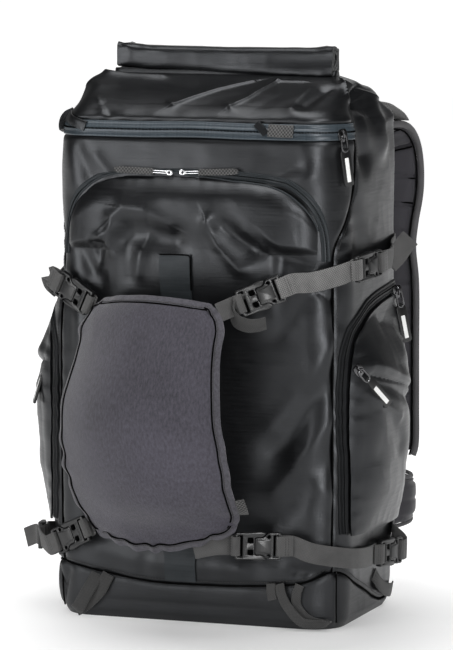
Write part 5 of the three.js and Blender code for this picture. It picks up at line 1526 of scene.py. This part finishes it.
def makePulls():
    def onArch(across, lift=0.0):
        return onFront(across, 453.5 + abs(across + 24) / 25, 4.2 + lift)

    pocketAt = wallPoint(167, 264, sidePocket["seat"] + sidePocket["thick"] + 4)
    rows = [("topZipPull", wallPoint(153, 499, 2.6), wallPoint(164, 443, 5), (0.83, -0.56, 0), 57),
            ("frontZipPullLeft", onArch(-17.5), onArch(-80, 1.5), (0, -1, 0.05), 63),
            ("frontZipPullRight", onArch(-12.5), onArch(50, 1.5), (0, -1, 0.05), 63),
            ("sideZipPullRight", wallPoint(302, 331, 4.3), (170, 76, 268), (0.8, -0.7, 0.2), 60),
            ("sidePocketPullRight", pocketAt, pocketAt + (24, 42, -45), (1, -0.9, 0.1), 62),
            ("sideZipPullLeft", wallPoint(-178, 262, 5.7), (-186, -62, 214), (-1, -0.5, 0), 54)]
    for name, at, end, facing, length in rows:  # ends say which way they hang
        if name.startswith("front"):
            form, looks, slotName = cordPullForm(length), "metal braid", "metal"
        else:
            form, looks, slotName = pullForm(length), "plastic darkMetal pale", "plastic"
        makePiece(name, moveForm(form, at, np.asarray(end) - at, facing), looks, slotName, sharp=40)


makePulls()
print("zip pulls made")


# padded harness: cloth swelled by pressure, then pressed along its sewn channels
padding = {"shrink": 1.6, "voxel": 5, "pressure": 4, "cap": 2.4, "frames": 20, "sides": 22, "step": 6,
           "fill": 0.7, "pipingPitch": 5, "web": (25, 2.4)}


def puff(name, form):
    mesh = bpy.data.meshes.new(name)
    mesh.from_pydata((form["points"] * mm).tolist(), [], form["faces"])
    work = link(name, mesh)

    def settle():  # make the modifiers' result the mesh
        made = meshOf(work)
        work.modifiers.clear()
        work.data = made

    remesh = work.modifiers.new("voxels", "REMESH")
    remesh.mode = "VOXEL"
    remesh.voxel_size = padding["voxel"] * mm
    settle()
    before = np.zeros(len(work.data.vertices) * 3)
    work.data.vertices.foreach_get("co", before)
    cloth = work.modifiers.new("cloth", "CLOTH")
    cloth.settings.use_pressure = True
    cloth.settings.uniform_pressure_force = padding["pressure"]
    cloth.settings.effector_weights.gravity = 0
    cloth.point_cache.frame_start, cloth.point_cache.frame_end = 1, padding["frames"]
    for step in range(1, padding["frames"] + 1):
        bpy.context.scene.frame_set(step)
    settle()
    after = np.zeros_like(before)
    work.data.vertices.foreach_get("co", after)
    move = (after - before).reshape(-1, 3)
    far = np.linalg.norm(move, axis=1, keepdims=True)
    move *= np.minimum(1, padding["cap"] * mm / np.maximum(far, 1e-9))
    work.data.vertices.foreach_set("co", (before.reshape(-1, 3) + move).ravel())
    bpy.context.scene.frame_set(1)
    smooth = work.modifiers.new("smooth", "SUBSURF")
    smooth.levels = smooth.render_levels = 1
    settle()
    made = work.data
    bpy.data.objects.remove(work)
    return made


def padRun(rows, sides):  # points, ways of the width, widths and thicknesses
    points, rest = smoothRun(rows[:, :3], padding["step"], rows[:, 3:5], sides)
    return points, rest[:, 2:5], rest[:, 0], rest[:, 1]


def padLoops(points, sides, widths, thicks):
    _, side, out = frameAlong(points, sides)
    turn = np.linspace(0, 2 * np.pi, padding["sides"], endpoint=False)
    wide = (widths[:, None] / 2 - padding["shrink"]) * power(np.cos(turn), 0.6)
    high = (thicks[:, None] / 2 - padding["shrink"] * 0.6) * power(np.sin(turn), 0.75)
    loop = points[:, None] + side[:, None] * wide[..., None] + out[:, None] * high[..., None]
    return loftForm(loop, np.zeros((*loop.shape[:2], 2)))


def pressChannels(mesh, points, sides, widths, pitch, depth, lengthwise=False):
    # thread lines sunk into the pad, across it or along it
    way, side, out = frameAlong(points, sides)
    run = lengthAlong(points)
    place, normal = np.zeros(len(mesh.vertices) * 3), np.zeros(len(mesh.vertices) * 3)
    mesh.vertices.foreach_get("co", place)
    mesh.vertices.foreach_get("normal", normal)
    place, normal = place.reshape(-1, 3) / mm, normal.reshape(-1, 3)
    near = np.concatenate([np.argmin(((chunk[:, None] - points[None]) ** 2).sum(-1), 1)
                           for chunk in np.array_split(place, 1 + len(place) // 4000)])
    off = place - points[near]
    along, aside = run[near] + (off * way[near]).sum(-1), (off * side[near]).sum(-1)
    share = np.abs(aside) / (widths[near] / 2)
    flat = ease(np.abs((normal * out[near]).sum(-1)), 0.5, 0.85)
    line = np.mod(aside + pitch / 2 if lengthwise else along, pitch) - pitch / 2
    groove = np.exp(-(line / 1.9) ** 2) * (1 - ease(share, 0.74, 0.86))
    groove += np.exp(-((share - 0.82) * widths[near] / 5) ** 2)
    place -= normal * (depth * groove * flat)[:, None]
    mesh.vertices.foreach_set("co", (place * mm).ravel())
    mesh.update()


def makePad(name, points, sides, widths, thicks, size, lengthwise=False):
    mesh = puff(name, padLoops(points, sides, widths, thicks))
    pressChannels(mesh, points, sides, widths, size["quilt"], size["press"], lengthwise)
    mesh.name = name
    mesh.materials.clear()
    mesh.materials.append(finish["pad"])
    mesh.shade_smooth()
    declare(link(name, mesh), "padding", nodeOf(name))


def pipeEdges(name, points, side, widths, size):
    edges = [(points + side * (hand * (widths[:, None] / 2 - size["inset"])),) for hand in (-1, 1)]
    sizes = {"Pitch": padding["pipingPitch"], "Radius": size["piping"]}
    followPaths(name, pipingTree, sizes, edges, "edge", "padding")


shoulder = {"rows": np.array([  # x, y, z, width, thickness, turn of the width
                (82, 111.5, 477, 74, 9, 0.02), (87, 140, 487, 76, 11, 0.12), (99, 178, 480, 78, 12, 0.28),
                (104, 200, 457, 78, 12, 0.34), (106, 203, 422, 77, 12, 0.32), (105, 191, 386, 75, 12, 0.26),
                (105, 183, 358, 75, 12, 0.22), (109, 182, 320, 75, 12, 0.2), (110, 182, 250, 74, 12, 0.2),
                (110, 183, 190, 74, 12, 0.2), (110, 184, 148, 73, 11, 0.2),
                (110, 183, 139, 68, 7, 0.15)], float),
            "web": [(110, 183, 146), (112, 177, 134), (115, 150, 145), (118, 122, 158), (118, 103, 165)],
            "quilt": 29, "press": 3.2, "piping": 3.6, "inset": 2.6, "quiltLow": 398,
            "sunk": 0.9, "across": 0.39, "edge": 0.41, "seam": {"Pitch": 4, "Radius": 0.9}}


def makeShoulders():
    for title, hand in hands:
        rows = shoulder["rows"] * (hand, 1, 1, 1, 1, 1)
        sides = np.column_stack([np.full(len(rows), hand), rows[:, 5], np.zeros(len(rows))])
        points, sides, widths, thicks = padRun(rows, sides)
        makePad("shoulderStrap" + title, points, sides, widths, thicks, shoulder)
        _, side, out = frameAlong(points, sides)
        pipeEdges("shoulderPiping" + title, points, side, widths, shoulder)
        run = lengthAlong(points)
        # black cords over the sewn channels and along the edges, on both faces: painted shade in the grooves
        deep = out * (thicks[:, None] / 2 - shoulder["sunk"])
        lines = []
        for at in np.arange(shoulder["quilt"] / 2, run[-1], shoulder["quilt"]):
            i = int(np.argmin(np.abs(run - at)))
            if points[i][2] < shoulder["quiltLow"]:
                break
            wide = np.linspace(-1, 1, 9)[:, None] * shoulder["across"] * widths[i]
            lines += [(points[i] + side[i] * wide + deep[i] * face,) for face in (-1, 1)]
        for face in (-1, 1):
            lines += [(points + side * (edge * shoulder["edge"] * widths[:, None]) + deep * face,)
                      for edge in (-1, 1)]
        followPaths("shoulderSeamShade" + title, pipingTree, shoulder["seam"], lines, "seam", "padding")
        run, _ = smoothRun(np.array(shoulder["web"]) * (hand, 1, 1), 2)
        form = bandForm(run, (1, 0, 0), webSection * padding["web"])
        makePiece("shoulderWeb" + title, form, "webbing", "webbing", "")


lifter = {"rows": [(125, 118, 513), (128, 140, 507), (129, 160, 500.5), (128, 178, 493)],
          "wall": [(300, 527, 4), (312, 519, 5)]}


def makeLifters():
    for title, hand in hands:
        points = onWalls([(hand * a, z, lift) for a, z, lift in lifter["wall"]])
        points += [np.array((hand * x, y, z), float) for x, y, z in lifter["rows"]]
        makeStrap("loadLifter" + title, points, [(1, 0, 0)] * len(points))


belt = {"rows": np.array([  # x, y, z, height, thickness
            (0, 114.1, 98, 80, 12), (50, 114.3, 98, 80, 13), (100, 119.1, 98, 70, 14), (133, 138, 96, 58, 14),
            (145, 160, 95, 50, 13), (138, 188, 96, 48, 12), (110, 212, 98, 47, 12), (88, 223, 98, 44, 10),
            (80, 226.4, 98, 26, 4)], float),
        "quilt": 17, "press": 1.6, "piping": 2.2, "inset": 1.4}


def makeBelt():
    rows = np.concatenate([belt["rows"][:0:-1] * (-1, 1, 1, 1, 1), belt["rows"]])
    sides = np.tile((0.0, 0.0, 1.0), (len(rows), 1))
    points, sides, widths, thicks = padRun(rows, sides)
    makePad("hipBelt", points, sides, widths, thicks, belt, True)
    pipeEdges("hipBeltPiping", points, sides, widths, belt)


clasp = {"webStart": 24, "webEnd": 79.6, "bow": 9, "y": 227.4, "z": 98, "scale": (1.26, 1.6, 1.6),
         "steps": 24}


def makeClasp():
    form = joinForms([socketForm(), prongForm()])
    form["points"] = form["points"] * clasp["scale"]
    form = moveForm(form, (0, clasp["y"] + clasp["bow"], clasp["z"]), (1, 0, 0), (0, 1, 0))
    makePiece("hipBeltClasp", form, "plastic seam", "plastic", sharp=35)
    for title, hand in hands:
        x = np.linspace(clasp["webStart"], clasp["webEnd"], clasp["steps"]) * hand
        y = clasp["y"] + clasp["bow"] * (1 - (x / clasp["webEnd"]) ** 2)
        run = np.column_stack([x, y, np.full(clasp["steps"], clasp["z"])])
        form = bandForm(run, (0, 0, 1), webSection * padding["web"])
        makePiece("hipBeltWeb" + title, form, "webbing", "webbing", "")


grip = {"half": 52, "y": 96.2, "out": 30, "z": 494, "rise": 10, "width": 22, "thick": 3}


def makeGrip():
    angle = np.linspace(0, np.pi, 40)
    run = np.column_stack([-grip["half"] * np.cos(angle), grip["y"] + grip["out"] * np.sin(angle) ** 0.7,
                           grip["z"] + grip["rise"] * np.sin(angle)])
    form = bandForm(run, (0, 0.2, 1), webSection * (grip["width"], grip["thick"]))
    makePiece("grabHandle", form, "webbing", "webbing")


makeShoulders()
makeLifters()
makeBelt()
makeClasp()
makeGrip()
print("harness made")
